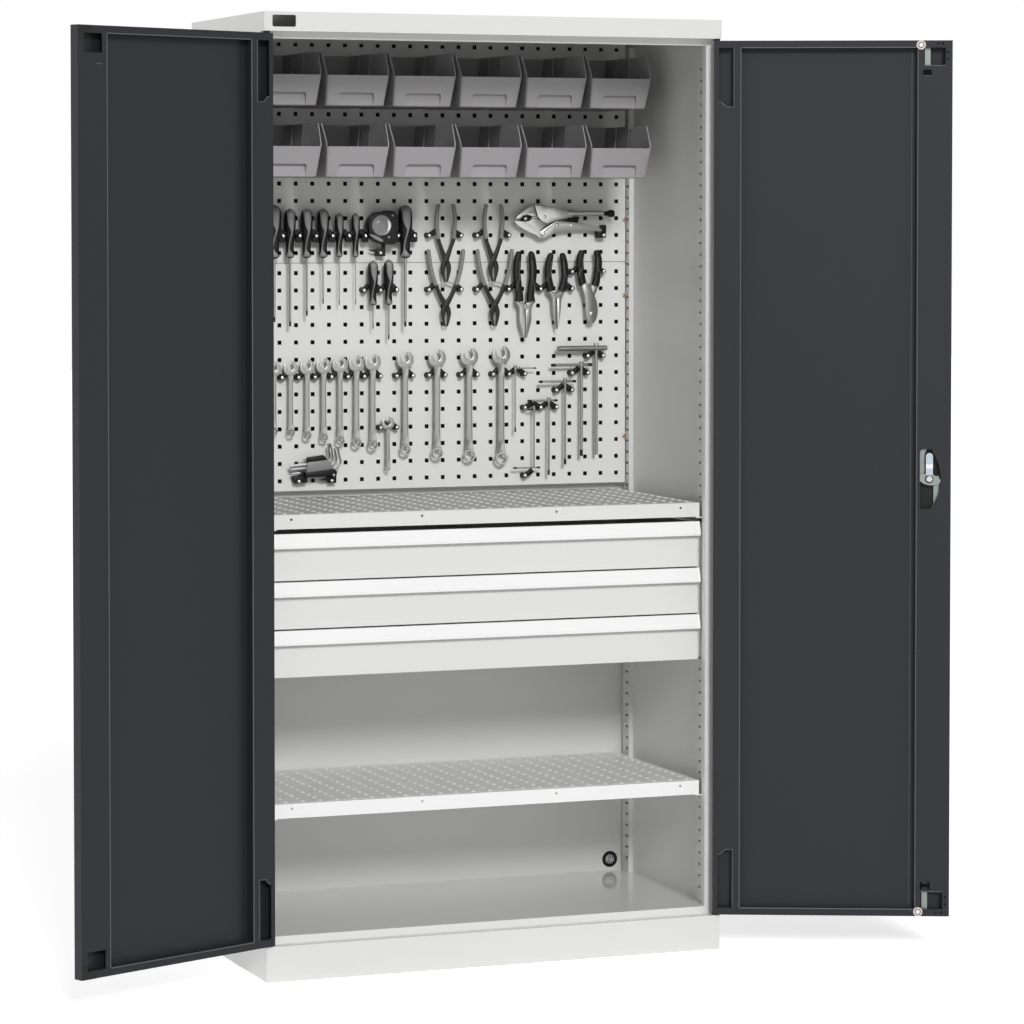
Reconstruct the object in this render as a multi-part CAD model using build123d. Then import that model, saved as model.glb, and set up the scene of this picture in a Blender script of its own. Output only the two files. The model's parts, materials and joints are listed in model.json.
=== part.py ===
# Two-door steel tool cabinet with a perforated tool panel, storage bins, three drawers and two shelves.
# Millimetres. +Z up, the front faces -Y, +X is the viewer's right. The origin is the centre of the
# cabinet's footprint on the floor. The doors are modelled open, the drawers closed.
import os

from build123d import *

# ---------------------------------------------------------------- driving dimensions: carcass
cabinet_width = 1023.0
cabinet_depth = 525.0
cabinet_height = 2000.0
carcass_sheet = 1.5
cap_height = 40.0
plinth_height = 74.0
door_recess = 27.0              # the doors' rebate, from the cap's front to the carcass's front plane
plinth_flange = 20.0
runner_width = 60.0             # the plinth's middle channel
floor_top = 90.0
lintel_drop = 14.0
lintel_return = 20.0

# slotted posts
post_setback = 12.0             # from the cabinet's side to the posts' slotted faces
post_flange = 22.5              # width of the front posts' front flange
post_return = 16.0
front_post_depth = 68.0
rear_post_front = 215.0         # Y of the rear posts' front
rear_post_depth = 36.0
slot_pitch = 25.0
slot_height = 4.5
front_slot_width = 9.0
rear_slot_width = 14.0
slot_first = 30.0               # first slot above the floor panel
front_slot_share = 0.2          # from a front post's back to its slots, as a share of its depth
rear_slot_share = 0.3           # from a rear post's front to its slots, as a share of its depth
post_wall = 1.5

# perforated tool panels
peg_front = 233.0               # Y of the panels' front face
peg_sheet = 1.2
peg_side_gap = 2.5              # from the posts' slotted faces to the panels' side edges
peg_pitch = 38.0
peg_hole = 9.0
peg_least_margin = 20.0         # the first column of holes is at least this far from a side edge
peg_rows = 13
peg_row_margin = 22.0
peg_seam_drop = 482.0           # from the cap down to where the upper and the lower panel meet
peg_clip_width = 10.0
peg_clip_height = 6.0
peg_clip_sheet = 2.0            # how thick a clip is in front of the panel and behind it
peg_clip_rises = (-440.0, -250.0, -60.0, 60.0, 250.0, 440.0)     # the clips' lower edges above the seam

# shelves
shelf_gap = 15.5                # from the posts' slotted faces to the shelves' ends
shelf_front_inset = 50.0        # from the cabinet's front to the shelves' front edge
shelf_back_gap = 6.0            # from the shelves' back edge to the back panel
shelf_edge = 30.0
shelf_sheet = 1.2
work_shelf_top = 962.5
lower_shelf_top = 360.4
shelf_hole_radius = 2.5
shelf_hole_insets = (44.0, 332.0)                                # from the shelves' ends
bracket_length = 40.0
bracket_height = 24.0
bracket_sheet = 2.0
bracket_arm = 10.0              # how far a bracket reaches under its shelf

# cable grommet
grommet_inset = 39.5            # from the cabinet's side to the grommet's middle
grommet_lift = 25.0             # from the floor panel to its middle
grommet_radius = 17.0
grommet_membrane = 13.0         # radius of the thin middle
grommet_flange = 2.5
grommet_slits = 12
grommet_slit = (2.0, 11.0, 1.2)                                  # inner and outer radius, and width

# ---------------------------------------------------------------- driving dimensions: doors
door_thickness = 22.0
door_sheet = 1.2
door_side_inset = 1.5           # from the cabinet's side to the closed door's hinge edge
door_middle_gap = 2.0           # from the cabinet's middle to the closed door's free edge
door_bottom_gap = 2.0
door_top_gap = 4.5
pivot_inset = 5.8               # from the door's hinge edge to its pivot axis
pivot_depth = 8.4               # from the door's outer face to its pivot axis
right_door_open = 156.3
left_door_open = 156.1
hinge_stile = 58.0
lock_stile = 74.0
door_rail = 15.5
weld_flange = 11.0
pin_radius = 4.0
pin_collar_radius = 7.3
pin_clearance = 0.05
pin_short = 2.0                 # how far the pins end short of the bushes' inner ends
bush_radius = 5.5
bush_flange_radius = 7.0
bush_flange = 1.2
bearing_gap = 0.3
well_u = (10.5, 42.5)           # hinge wells in the hinge stile, measured from the door's hinge edge
well_length = 126.0
well_chamfer = 11.0
well_step = 5.0
window_near = 61.0              # rod windows in the lock stile, measured from the door's free edge
window_far = 15.0
window_height = 38.0

# lock
lock_inset = 46.0               # from the door's free edge to the handle's axis
lock_z = 1018.5
lock_opening_near = 66.0        # the opening over the cam, measured from the free edge
lock_opening_far = 21.0
lock_opening_reach = 64.0       # above and below the handle's axis
lock_opening_bow = 0.45         # how far its free side is bowed, as a share of its width
cam_radius = 21.0
cam_arm_share = 0.34
cam_waist_share = 0.5
cam_sheet = 3.0
rod_width = 12.0
rod_sheet = 4.0
rod_inset = 52.5                # from the door's free edge to the rods' line
rod_slot_gap = 2.0              # around a rod in the cap's and the ledge's slot
rod_rail_gap = 1.0              # beside a rod in the door's rails
rod_depth = 9.0                 # from the door's outer face to the rods' outer face
rod_travel = 20.0
rod_reach = 9.0                 # how far a locked rod stands out of the door's edge
upper_rod_offset = -9.0         # how far the rods' inner ends stand off their line
lower_rod_offset = 22.0
rod_bend = 60.0
rod_overlap = 6.0               # from the handle axis's level to a rod's inner end
rod_pin_radius = 3.5
guide_post = 4.0                # width of a rod guide's posts
guide_height = 20.0
guide_distance = 60.0           # from a rod window to the guide's middle
tongue_length = 56.0
tongue_width = 15.0
tongue_sheet = 2.0
roller_from_edge = 67.0         # from the door's free edge to the rollers' centres
roller_radius = 10.0
roller_thickness = 3.4
roller_pin_radius = 2.5
roller_head = (4.5, 0.6)        # radius and thickness of the roller pins' heads
roller_inset = 10.0             # from the door's top or bottom edge to a roller's centre
spindle_radius = 6.0
escutcheon_size = (44.0, 150.0, 8.0)
handle_size = (22.0, 124.0, 14.0)
handle_hub_radius = 17.0
handle_gap = 1.0
handle_floor = 2.0              # the handle's material behind the key cylinder
cylinder_radius = 9.0
key_slot = (2.0, 8.0, 4.0)
cap_leg = (36.0, 12.0, 28.0)    # corner caps on the left door: long leg, its height, short leg
cap_sheet = 1.2

# ---------------------------------------------------------------- driving dimensions: drawers
drawer_front_gap = 15.5         # from the posts' slotted faces to the drawer fronts' ends
drawer_front_inset = 58.0
drawer_front_height = 98.0
drawer_pitch = 100.7
drawer_drop = 40.0              # from the work shelf's top to the first drawer's upper edge
drawer_front_sheet = 1.5
grip_height = 30.0
grip_depth = 16.0
grip_lip = 6.0
grip_shoulder = 0.55            # where the grip starts to slope, as a share of its depth
grip_sheet = 2.0
drawer_box_height = 72.0
drawer_box_depth = 400.0
drawer_box_sheet = 1.2
drawer_box_lift = 10.0          # from the front's lower edge to the box's bottom
runner_member = 3.5             # thickness of the outer and the inner runner members
runner_middle = 4.6
runner_gap = 0.3
runner_height = 36.0
drawer_side_gap = 11.0          # from a drawer front's end to the box behind it
housing_wall = 1.5
housing_front_gap = 6.0
housing_margin = 4.0

# ---------------------------------------------------------------- driving dimensions: bins
bin_columns = 6
bin_row_inset = 41.0            # from a panel's side edge to the end of a row of bins
bin_row_rises = (338.0, 186.0)                                   # the bins' lower edges above the panels' seam
bin_gap = 5.0                   # between the backs of two neighbours
bin_taper = 16.0                # how much narrower a bin is at its bottom than at its top
bin_height = 115.0
bin_lip_height = 65.0
bin_lip_y = -28.0               # Y of the lip's upper edge
bin_foot_y = -4.0               # Y of the lip's lower edge
bin_shoulder_y = 6.0            # Y where the side walls start to slope down to the lip
bin_wall = 2.2
bin_label = (80.0, 28.0)         # width and height of the label recess
bin_rail_height = 24.0
bin_rail_sheet = 3.0
bin_rail_lift = 80.0

# ---------------------------------------------------------------- driving dimensions: hanging tools
# A tool hangs on a holder in a row of the panels' holes. Rows count up from 0 above the panels' seam and
# down from -1 below it. A tool's rise is how far its top, or its given level, stands above its row.
hook_depth = 15.0               # the tools' backs stand this far in front of the panel
hook_height = 10.0
hook_narrow = 30.0
hook_wide = 68.0
tools_half_panel = 497.0        # half the panel's width that the tools' places along X are given for
screwdriver_table = (           # place, row, rise, grip's length and radius, whole length, blade's radius
    (-342.0, 1, 69.0, 117.0, 16.0, 255.0, 3.0), (-304.0, 1, 61.0, 108.0, 13.0, 255.0, 2.8),
    (-266.0, 1, 61.0, 108.0, 13.3, 255.0, 2.4), (-228.0, 1, 61.0, 108.0, 13.3, 208.0, 1.6),
    (-190.0, 1, 50.0, 97.0, 10.0, 208.0, 1.3), (-152.0, 1, 50.0, 97.0, 9.5, 208.0, 1.0),
    (-38.0, 1, 69.0, 117.0, 16.0, 258.0, 3.0), (-113.0, -2, 66.0, 99.0, 11.3, 150.0, 1.5),
    (-76.0, -2, 68.0, 100.0, 11.3, 176.0, 2.0),
)
screwdriver_profile = (         # half-widths as shares of the radius, by the way down as shares of the grip
    (0.6, 0.0), (0.86, 0.07), (1.0, 0.2), (0.97, 0.42), (0.69, 0.72), (0.75, 0.93), (0.5, 1.0),
)
spanner_table = (               # place, row and length
    (-342.0, -7, 158.0), (-304.0, -7, 164.0), (-266.0, -7, 173.0), (-228.0, -7, 182.0), (-190.0, -7, 192.0),
    (-152.0, -7, 201.0), (-114.0, -7, 210.0), (-38.0, -7, 228.0), (37.0, -7, 242.0), (113.0, -7, 252.0),
    (189.0, -7, 264.0), (-79.0, -10, 117.5),
)
spanner_rise = (-8.7, 0.264)    # each of these three is a fixed part and a share of the spanner's length
spanner_jaw = (9.5, 0.0445)
spanner_ring = (-2.6, 0.067)
spanner_tilt = -15.0            # the open jaw looks up and to the left
spanner_sheet = 6.0
spanner_hole_share = 0.66       # the ring's hole, as a share of the ring's radius
spanner_shank_share = 0.55      # half the shank at the ring, as a share of the ring's radius
spanner_taper = 0.85            # the shank's width at the jaw, as a share of that at the ring
spanner_throat = (0.9, 1.5)     # the throat's width and depth, as shares of the jaw's radius
pliers_hung = (("closed_circlip", 58.0, 1, 69.5, 172.0), ("closed_circlip", 171.0, 1, 69.5, 172.0),
               ("open_circlip", 58.0, -2, 89.5, 171.0), ("open_circlip", 174.0, -2, 89.5, 172.0),
               ("combination", 245.0, -2, 84.0, 193.0), ("needle_nose", 321.0, -2, 80.0, 170.0),
               ("cutting", 400.0, -1, 48.0, 164.0))          # kind, place, row, rise and length
plier_lines = {                 # a lever's places beside the axis, heights by the length, and half-widths
    "closed_circlip": ((16.5, 1.0, 4.0), (21.0, 0.8, 4.0), (17.0, 0.55, 4.0), (7.0, 0.36, 4.5),
                       (0.0, 0.28, 5.0), (-6.0, 0.18, 4.5), (-4.0, 0.0, 2.2)),
    "open_circlip": ((41.0, 1.0, 4.0), (36.0, 0.8, 4.0), (25.0, 0.55, 4.5), (8.0, 0.36, 5.0),
                     (0.0, 0.28, 5.5), (-6.0, 0.18, 4.5), (-4.0, 0.0, 2.2)),
    "combination": ((14.0, 1.0, 6.0), (18.0, 0.85, 8.0), (17.0, 0.62, 8.0), (14.0, 0.45, 9.0),
                    (9.0, 0.38, 10.0), (0.0, 0.25, 11.0), (-5.0, 0.12, 7.5), (-2.5, 0.0, 2.5)),
    "needle_nose": ((14.0, 1.0, 6.0), (19.0, 0.8, 8.0), (17.0, 0.6, 8.0), (11.0, 0.5, 8.0),
                    (0.0, 0.43, 9.0), (-5.0, 0.35, 6.5), (-2.0, 0.0, 1.6)),
    "cutting": ((17.0, 1.0, 6.0), (21.0, 0.8, 8.0), (17.0, 0.6, 8.0), (9.0, 0.5, 8.0),
                (0.0, 0.36, 10.0), (-4.0, 0.2, 10.0), (-3.0, 0.0, 5.0)),
}
plier_pivots = {"closed_circlip": 0.28, "open_circlip": 0.28, "combination": 0.25, "needle_nose": 0.43,
                "cutting": 0.36}                                 # the rivets' heights, as shares of the length
plier_sheet = 5.0
plier_boss_radius = 9.0
plier_pivot_radius = 4.0
key_bars = (                    # place, row, rise, length, the cross bar's rise, its reach left and right
    (417.0, -6, 29.0, 255.0, 16.0, 93.0, 28.0), (381.0, -7, 25.0, 210.0, 16.0, 72.0, 23.0),
    (343.0, -8, 25.0, 191.0, 21.0, 63.0, 22.0), (302.0, -9, 21.0, 169.0, 14.0, 48.0, 12.0),
    (267.0, -9, 9.0, 148.0, 4.0, 14.0, 12.0), (222.5, -7, 16.0, 144.0, 12.0, 8.0, 46.0),
    (250.0, -13, 12.0, 34.0, 8.0, 30.0, 30.0),
)
key_bar_radius = 3.0
key_set_place = (-247.5, -12, -3.0)                              # place, row and rise of its middle
key_set_width = 115.0
key_set_height = 90.0
key_set_thickness = 18.0
key_set_cut = 14.0              # its upper left corner is cut off
key_set_slope = 18.0            # its upper edge falls this much to the right
key_set_chamfer = 22.0          # its lower right corner is cut off
key_set_rounding = 5.0
tape_place = (-92.0, 1, 19.0)                                    # place, row and rise of its middle
tape_radius = 34.0
tape_thickness = 30.0
locking_pliers_place = (222.0, 2, -4.0)                          # place of the jaw's tip, row and rise
locking_pliers_length = 246.0
locking_pliers_hooks = ((254.0, 2), (441.0, 1))
locking_pliers_sheet = 10.0
locking_pliers_body = (         # outline from the jaw's tip: places and rises as shares of the length
    (0.0, 0.016), (0.033, -0.037), (0.154, -0.106), (0.203, -0.138), (0.236, -0.106), (0.171, -0.057),
    (0.224, 0.008), (0.386, -0.004), (1.0, -0.008), (1.0, 0.033), (0.333, 0.049), (0.154, 0.089),
    (0.049, 0.057),
)
locking_pliers_lever = (
    (0.24, -0.106), (0.305, -0.053), (0.407, -0.045), (0.902, -0.106), (0.91, -0.146), (0.447, -0.085),
    (0.293, -0.122),
)

# ---------------------------------------------------------------- places worked out from the dimensions
half_width = cabinet_width / 2
inner_half = half_width - carcass_sheet
front_y = -cabinet_depth / 2
back_y = cabinet_depth / 2
recess_y = front_y + door_recess
cap_bottom = cabinet_height - cap_height
post_face = half_width - post_setback
peg_half = post_face - peg_side_gap
peg_columns = int(2 * (peg_half - peg_least_margin) / peg_pitch) + 1
peg_height = 2 * peg_row_margin + peg_pitch * (peg_rows - 1)
peg_seam = cap_bottom - peg_seam_drop
shelf_half = post_face - shelf_gap
grommet_x = half_width - grommet_inset
grommet_z = floor_top + grommet_lift
door_width = half_width - door_side_inset - door_middle_gap
door_bottom = plinth_height + door_bottom_gap
door_top = cap_bottom - door_top_gap
door_edge_x = half_width - door_side_inset
window_u = (door_width - window_near, door_width - window_far)
lock_u = door_width - lock_inset
rod_u = door_width - rod_inset
roller_u = door_width - roller_from_edge
drawer_front_half = post_face - drawer_front_gap
drawer_half_box = drawer_front_half - drawer_side_gap
first_drawer_top = work_shelf_top - drawer_drop
bin_pitch = 2 * (peg_half - bin_row_inset) / bin_columns
bin_half_top = (bin_pitch - bin_gap) / 2
bin_half_bottom = bin_half_top - bin_taper / 2
tool_spread = peg_half / tools_half_panel
pivot_x = door_edge_x - pivot_inset
pivot_y = front_y + pivot_depth
door_inner_y = front_y + door_thickness
tool_back = peg_front - hook_depth
os.makedirs("parts", exist_ok=True)


def block(x0, x1, y0, y1, z0, z1):
    """A box between two opposite corners, given in any order."""
    size = (abs(x1 - x0), abs(y1 - y0), abs(z1 - z0))
    return Pos((x0 + x1) / 2, (y0 + y1) / 2, (z0 + z1) / 2) * Box(*size)


def rod_z(x, y, z0, z1, radius):
    """A round bar along Z."""
    return Pos(x, y, (z0 + z1) / 2) * Cylinder(radius, abs(z1 - z0))


def rod_y(x, z, y0, y1, radius):
    """A round bar along Y."""
    return Pos(x, (y0 + y1) / 2, z) * Rot(90, 0, 0) * Cylinder(radius, abs(y1 - y0))


def rod_x(y, z, x0, x1, radius):
    """A round bar along X."""
    return Pos((x0 + x1) / 2, y, z) * Rot(0, 90, 0) * Cylinder(radius, abs(x1 - x0))


def facing(y):
    """The plane Y = y with X and Z as its axes. What is extruded from it grows towards the front."""
    return Plane(origin=(0, y, 0), x_dir=(1, 0, 0), z_dir=(0, -1, 0))


def plate(outline, y0, y1):
    """A plate with an outline in X and Z, from y0 (behind) to y1 (in front)."""
    return extrude(facing(y0) * Polygon(*outline, align=None), amount=y0 - y1, dir=(0, -1, 0))


def prism_x(outline, x0, x1):
    """A prism along X over an outline in Y and Z."""
    plane = Plane(origin=(x0, 0, 0), x_dir=(0, 1, 0), z_dir=(1, 0, 0))
    return extrude(plane * Polygon(*outline, align=None), amount=x1 - x0, dir=(1, 0, 0))


def rectangle_wire(a0, a1, b0, b1, place):
    """A closed rectangle between two corners; place turns a pair of coordinates into a point."""
    corners = ((a0, b0), (a1, b0), (a1, b1), (a0, b1))
    return Wire.make_polygon([place(a, b) for a, b in corners], close=True)


def mirrored(shape):
    """The same piece on the other side of the cabinet."""
    return mirror(shape, about=Plane.YZ)


def solids_of(shapes):
    """Every solid of some shapes, in one list."""
    found = []
    for shape in shapes:
        found.extend(shape.solids())
    return found


def write(name, *shapes):
    """Writes a node as one solid, or as a group of separate solids."""
    solids = solids_of(shapes)
    whole = solids[0] if len(solids) == 1 else Compound(children=solids)
    export_step(whole, f"parts/{name}.step")


# ---------------------------------------------------------------- carcass
def make_side_panel():
    """The right side: one flat sheet from the plinth to the cap."""
    return block(inner_half, half_width, recess_y, back_y, plinth_height, cap_bottom)


def make_back_panel():
    """The back sheet between the sides, with the hole for the cable grommet."""
    panel = block(-inner_half, inner_half, back_y - carcass_sheet, back_y, plinth_height, cap_bottom)
    hole = rod_y(grommet_x, grommet_z, back_y - 2 * carcass_sheet, back_y + carcass_sheet, grommet_radius)
    return panel - hole


def rod_slot(u, z):
    """The slot that a lock rod enters when the right door is closed and locked."""
    x = door_edge_x - u
    y = front_y + rod_depth + rod_sheet / 2
    half = rod_width / 2 + rod_slot_gap
    reach = 2 * carcass_sheet
    return block(x - half, x + half, y - rod_sheet, y + rod_sheet, z - reach, z + reach)


def make_top_cap():
    """The top cover: a sheet with a rim all round and a flange under its front that the doors close below."""
    cap = block(-half_width, half_width, front_y, back_y, cap_bottom, cabinet_height)
    cap -= block(-inner_half, inner_half, front_y + carcass_sheet, back_y - carcass_sheet, cap_bottom,
                 cabinet_height - carcass_sheet)
    flange_back = recess_y + carcass_sheet
    cap += block(-inner_half, inner_half, front_y, flange_back, cap_bottom, cap_bottom + carcass_sheet)
    return cap - rod_slot(rod_u, cap_bottom + carcass_sheet / 2)


def make_front_lintel():
    """The recessed strip above the doors' opening, folded back at its lower edge."""
    bottom = cap_bottom - lintel_drop
    strip = block(-inner_half, inner_half, recess_y, recess_y + carcass_sheet, bottom, cap_bottom)
    fold = block(-inner_half, inner_half, recess_y, recess_y + lintel_return, bottom, bottom + carcass_sheet)
    return strip + fold


def make_floor_panel():
    """The floor sheet, folded down at its front onto the plinth."""
    rear = back_y - carcass_sheet
    sheet = block(-inner_half, inner_half, recess_y, rear, floor_top - carcass_sheet, floor_top)
    lip = block(-inner_half, inner_half, recess_y, recess_y + carcass_sheet, plinth_height, floor_top)
    return sheet + lip


def make_plinth():
    """The plinth ring: four walls, a flange inwards round the bottom and a ledge under the doors."""
    ring = block(-half_width, half_width, front_y, back_y, 0, plinth_height)
    ring -= block(-inner_half, inner_half, front_y + carcass_sheet, back_y - carcass_sheet, 0, plinth_height)
    foot = block(-half_width, half_width, front_y, back_y, 0, carcass_sheet)
    clear = half_width - plinth_flange
    foot -= block(-clear, clear, front_y + plinth_flange, back_y - plinth_flange, 0, carcass_sheet)
    ledge = block(-inner_half, inner_half, front_y, recess_y + lintel_return, plinth_height - carcass_sheet,
                  plinth_height)
    return ring + foot + ledge - rod_slot(rod_u, plinth_height - carcass_sheet / 2)


def make_plinth_runner():
    """The channel across the middle of the plinth that carries the floor sheet."""
    half = runner_width / 2
    y0 = front_y + plinth_flange
    y1 = back_y - plinth_flange
    top = plinth_height - carcass_sheet
    channel = block(-half, half, y0, y1, 0, top)
    channel -= block(-half + carcass_sheet, half - carcass_sheet, y0, y1, carcass_sheet, top)
    rear = recess_y + lintel_return
    for side in (-1, 1):
        web = side * (half - carcass_sheet / 2)
        channel += block(web - carcass_sheet / 2, web + carcass_sheet / 2, rear, y1, top,
                         floor_top - carcass_sheet)
    return channel


def slots_in_z(y0, y1):
    """The slots of a post, as rectangles in Y and Z, one every slot pitch."""
    post_top = cap_bottom - lintel_drop
    count = int((post_top - floor_top - 2 * slot_first) / slot_pitch) + 1
    first = floor_top + slot_first
    return [(y0, y1, first + i * slot_pitch, first + i * slot_pitch + slot_height) for i in range(count)]


def slotted_face(y0, y1, z1, slots):
    """The slotted wall of the right-hand posts, from post_face outwards."""
    def place(y, z):
        return (post_face, y, z)

    holes = [rectangle_wire(*slot, place) for slot in slots]
    face = Face(rectangle_wire(y0, y1, floor_top, z1, place), holes)
    return extrude(face, amount=post_wall, dir=(1, 0, 0))


def make_front_post():
    """The right front post: a flange that closes the side, a return and the slotted wall behind it."""
    top = cap_bottom - lintel_drop
    flange_x = inner_half - post_flange
    return_y = recess_y + post_return
    back = recess_y + front_post_depth
    slot_back = back - front_post_depth * front_slot_share + front_slot_width / 2
    wall = slotted_face(return_y, back, top, slots_in_z(slot_back - front_slot_width, slot_back))
    flange = block(flange_x, inner_half, recess_y, recess_y + post_wall, floor_top, top)
    inner = block(flange_x, flange_x + post_wall, recess_y, return_y, floor_top, top)
    cross = block(flange_x, post_face + post_wall, return_y - post_wall, return_y, floor_top, top)
    rear = block(post_face, inner_half, back - post_wall, back, floor_top, top)
    return wall + flange + inner + cross + rear


def make_rear_post():
    """The right rear post: a channel on the side sheet with its slotted wall inwards."""
    top = cap_bottom
    back = rear_post_front + rear_post_depth
    slot_back = rear_post_front + rear_post_depth * rear_slot_share + rear_slot_width / 2
    wall = slotted_face(rear_post_front, back, top, slots_in_z(slot_back - rear_slot_width, slot_back))
    front = block(post_face, inner_half, rear_post_front, rear_post_front + post_wall, floor_top, top)
    rear = block(post_face, inner_half, back - post_wall, back, floor_top, top)
    return wall + front + rear


def make_pegboard():
    """One perforated panel with its lower edge at Z = 0: square holes on an even grid."""
    def place(x, z):
        return (x, peg_front, z)

    holes = []
    reach = peg_hole / 2
    for column in range(peg_columns):
        x = peg_pitch * (column - (peg_columns - 1) / 2)
        for row in range(peg_rows):
            z = peg_row_margin + row * peg_pitch
            holes.append(rectangle_wire(x - reach, x + reach, z - reach, z + reach, place))
    face = Face(rectangle_wire(-peg_half, peg_half, 0, peg_height, place), holes)
    return extrude(face, amount=peg_sheet, dir=(0, 1, 0))


def make_pegboard_clips():
    """Clips between the panels' edges and the rear posts, with a lug that reaches behind the panel."""
    peg_back = peg_front + peg_sheet
    lug_x = peg_half - 2 * peg_clip_width
    clips = []
    for rise in peg_clip_rises:
        z0 = peg_seam + rise
        z1 = z0 + peg_clip_height
        lug = block(lug_x, post_face, peg_back, peg_back + peg_clip_sheet, z0, z1)
        key = block(peg_half, post_face, peg_front - peg_clip_sheet, peg_back + peg_clip_sheet, z0, z1)
        clip = lug + key
        clips.extend((clip, mirrored(clip)))
    return clips


def make_shelf(top):
    """A shelf tray: a flat top with all four edges folded down."""
    half = shelf_half
    y0 = front_y + shelf_front_inset
    y1 = back_y - carcass_sheet - shelf_back_gap
    shelf = block(-half, half, y0, y1, top - shelf_edge, top)
    shelf -= block(-half + shelf_sheet, half - shelf_sheet, y0 + shelf_sheet, y1 - shelf_sheet,
                   top - shelf_edge, top - shelf_sheet)
    for inset in shelf_hole_insets:
        for x in (inset - half, half - inset):
            shelf -= rod_y(x, top - shelf_edge / 3, y0 - shelf_sheet, y0 + 2 * shelf_sheet, shelf_hole_radius)
    return shelf


def make_shelf_brackets():
    """Brackets under the shelves' ends, on the posts' slotted walls: four for each shelf."""
    front_place = recess_y + post_return + post_wall
    rear_place = rear_post_front + rear_post_depth / 2 - bracket_length
    brackets = []
    for top in (work_shelf_top, lower_shelf_top):
        seat = top - shelf_edge
        low = seat - bracket_sheet
        for y0 in (front_place, rear_place):
            y1 = y0 + bracket_length
            upright = block(post_face - bracket_sheet, post_face, y0, y1, low, low + bracket_height)
            arm = block(shelf_half - bracket_arm, post_face, y0, y1, low, seat)
            bracket = upright + arm
            brackets.extend((bracket, mirrored(bracket)))
    return brackets


def make_cable_grommet():
    """A round grommet in the back panel: a flange, a neck in the hole and a slit membrane."""
    inside = back_y - carcass_sheet
    body = rod_y(grommet_x, grommet_z, inside - grommet_flange, inside, grommet_radius + grommet_flange)
    body += rod_y(grommet_x, grommet_z, inside, back_y, grommet_radius)
    body -= rod_y(grommet_x, grommet_z, inside - grommet_flange, back_y - carcass_sheet / 2, grommet_membrane)
    near, far, width = grommet_slit
    for i in range(grommet_slits):
        turn = Pos(grommet_x, back_y - carcass_sheet / 4, grommet_z) * Rot(0, 360 / grommet_slits * i, 0)
        body -= turn * Pos((near + far) / 2, 0, 0) * Box(far - near, carcass_sheet, width)
    return body


def make_hinge_pins():
    """The four pins that the doors turn on: one under the cap and one on the plinth's ledge for each door."""
    upper_shank = rod_z(pivot_x, pivot_y, door_top - door_rail + pin_short, cap_bottom, pin_radius)
    collar_bottom = door_top + bush_flange + bearing_gap
    upper = upper_shank + rod_z(pivot_x, pivot_y, collar_bottom, cap_bottom, pin_collar_radius)
    lower_shank = rod_z(pivot_x, pivot_y, plinth_height, door_bottom + door_rail - pin_short, pin_radius)
    collar_top = door_bottom - bush_flange - bearing_gap
    lower = lower_shank + rod_z(pivot_x, pivot_y, plinth_height, collar_top, pin_collar_radius)
    return [upper, lower, mirrored(upper), mirrored(lower)]


# ---------------------------------------------------------------- doors, built closed on the right-hand side
def across(u):
    """X of a place on the closed right door, measured from its hinge edge."""
    return door_edge_x - u


def door_block(u0, u1, d0, d1, z0, z1):
    """A box on the closed right door: u from the hinge edge, d from the outer face inwards."""
    return block(across(u0), across(u1), front_y + d0, front_y + d1, z0, z1)


def make_door_skin(has_lock):
    """The door's flat outer sheet, with the hole for the lock's spindle."""
    sheet = door_block(0, door_width, 0, door_sheet, door_bottom, door_top)
    if not has_lock:
        return sheet
    radius = spindle_radius + bearing_gap
    return sheet - rod_y(across(lock_u), lock_z, front_y - 1, front_y + 2 * door_sheet, radius)


def well_cut(z_near, z_far):
    """A hinge well in the hinge stile's face. Its corner at the hinge side is cut off at the far end."""
    u0, u1 = well_u
    grow = 1 if z_far > z_near else -1
    outline = [(across(u0), z_near), (across(u1), z_near), (across(u1), z_far),
               (across(u0 + well_step + well_chamfer), z_far),
               (across(u0 + well_step), z_far - grow * well_chamfer), (across(u0), z_far - grow * well_chamfer)]
    inner = front_y + door_thickness
    return plate(outline, inner + door_sheet, inner - 2 * door_sheet)


def stile(u0, u1, outer_edge):
    """An upright profile: edge wall, face, return wall and a flange on the door's sheet."""
    z0 = door_bottom + door_rail
    z1 = door_top - door_rail
    skin = door_sheet
    face_d = door_thickness - skin
    body = door_block(u0, u1, face_d, door_thickness, z0, z1)
    for u in (u0, u1 - skin):
        body += door_block(u, u + skin, skin, door_thickness, z0, z1)
    if outer_edge == "hinge":
        return body + door_block(u1, u1 + weld_flange, skin, 2 * skin, z0, z1)
    return body + door_block(u0 - weld_flange, u0, skin, 2 * skin, z0, z1)


def rail(z0, z1):
    """A horizontal profile at the door's top or bottom."""
    skin = door_sheet
    face_d = door_thickness - skin
    body = door_block(0, door_width, face_d, door_thickness, z0, z1)
    body += door_block(0, door_width, skin, door_thickness, z0, z0 + skin)
    body += door_block(0, door_width, skin, door_thickness, z1 - skin, z1)
    for u in (0, door_width - skin):
        body += door_block(u, u + skin, skin, door_thickness, z0, z1)
    return body


def bush_hole(z0, z1):
    """The bore in the rails that holds a hinge bush."""
    return rod_z(pivot_x, pivot_y, z0, z1, bush_radius)


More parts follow.
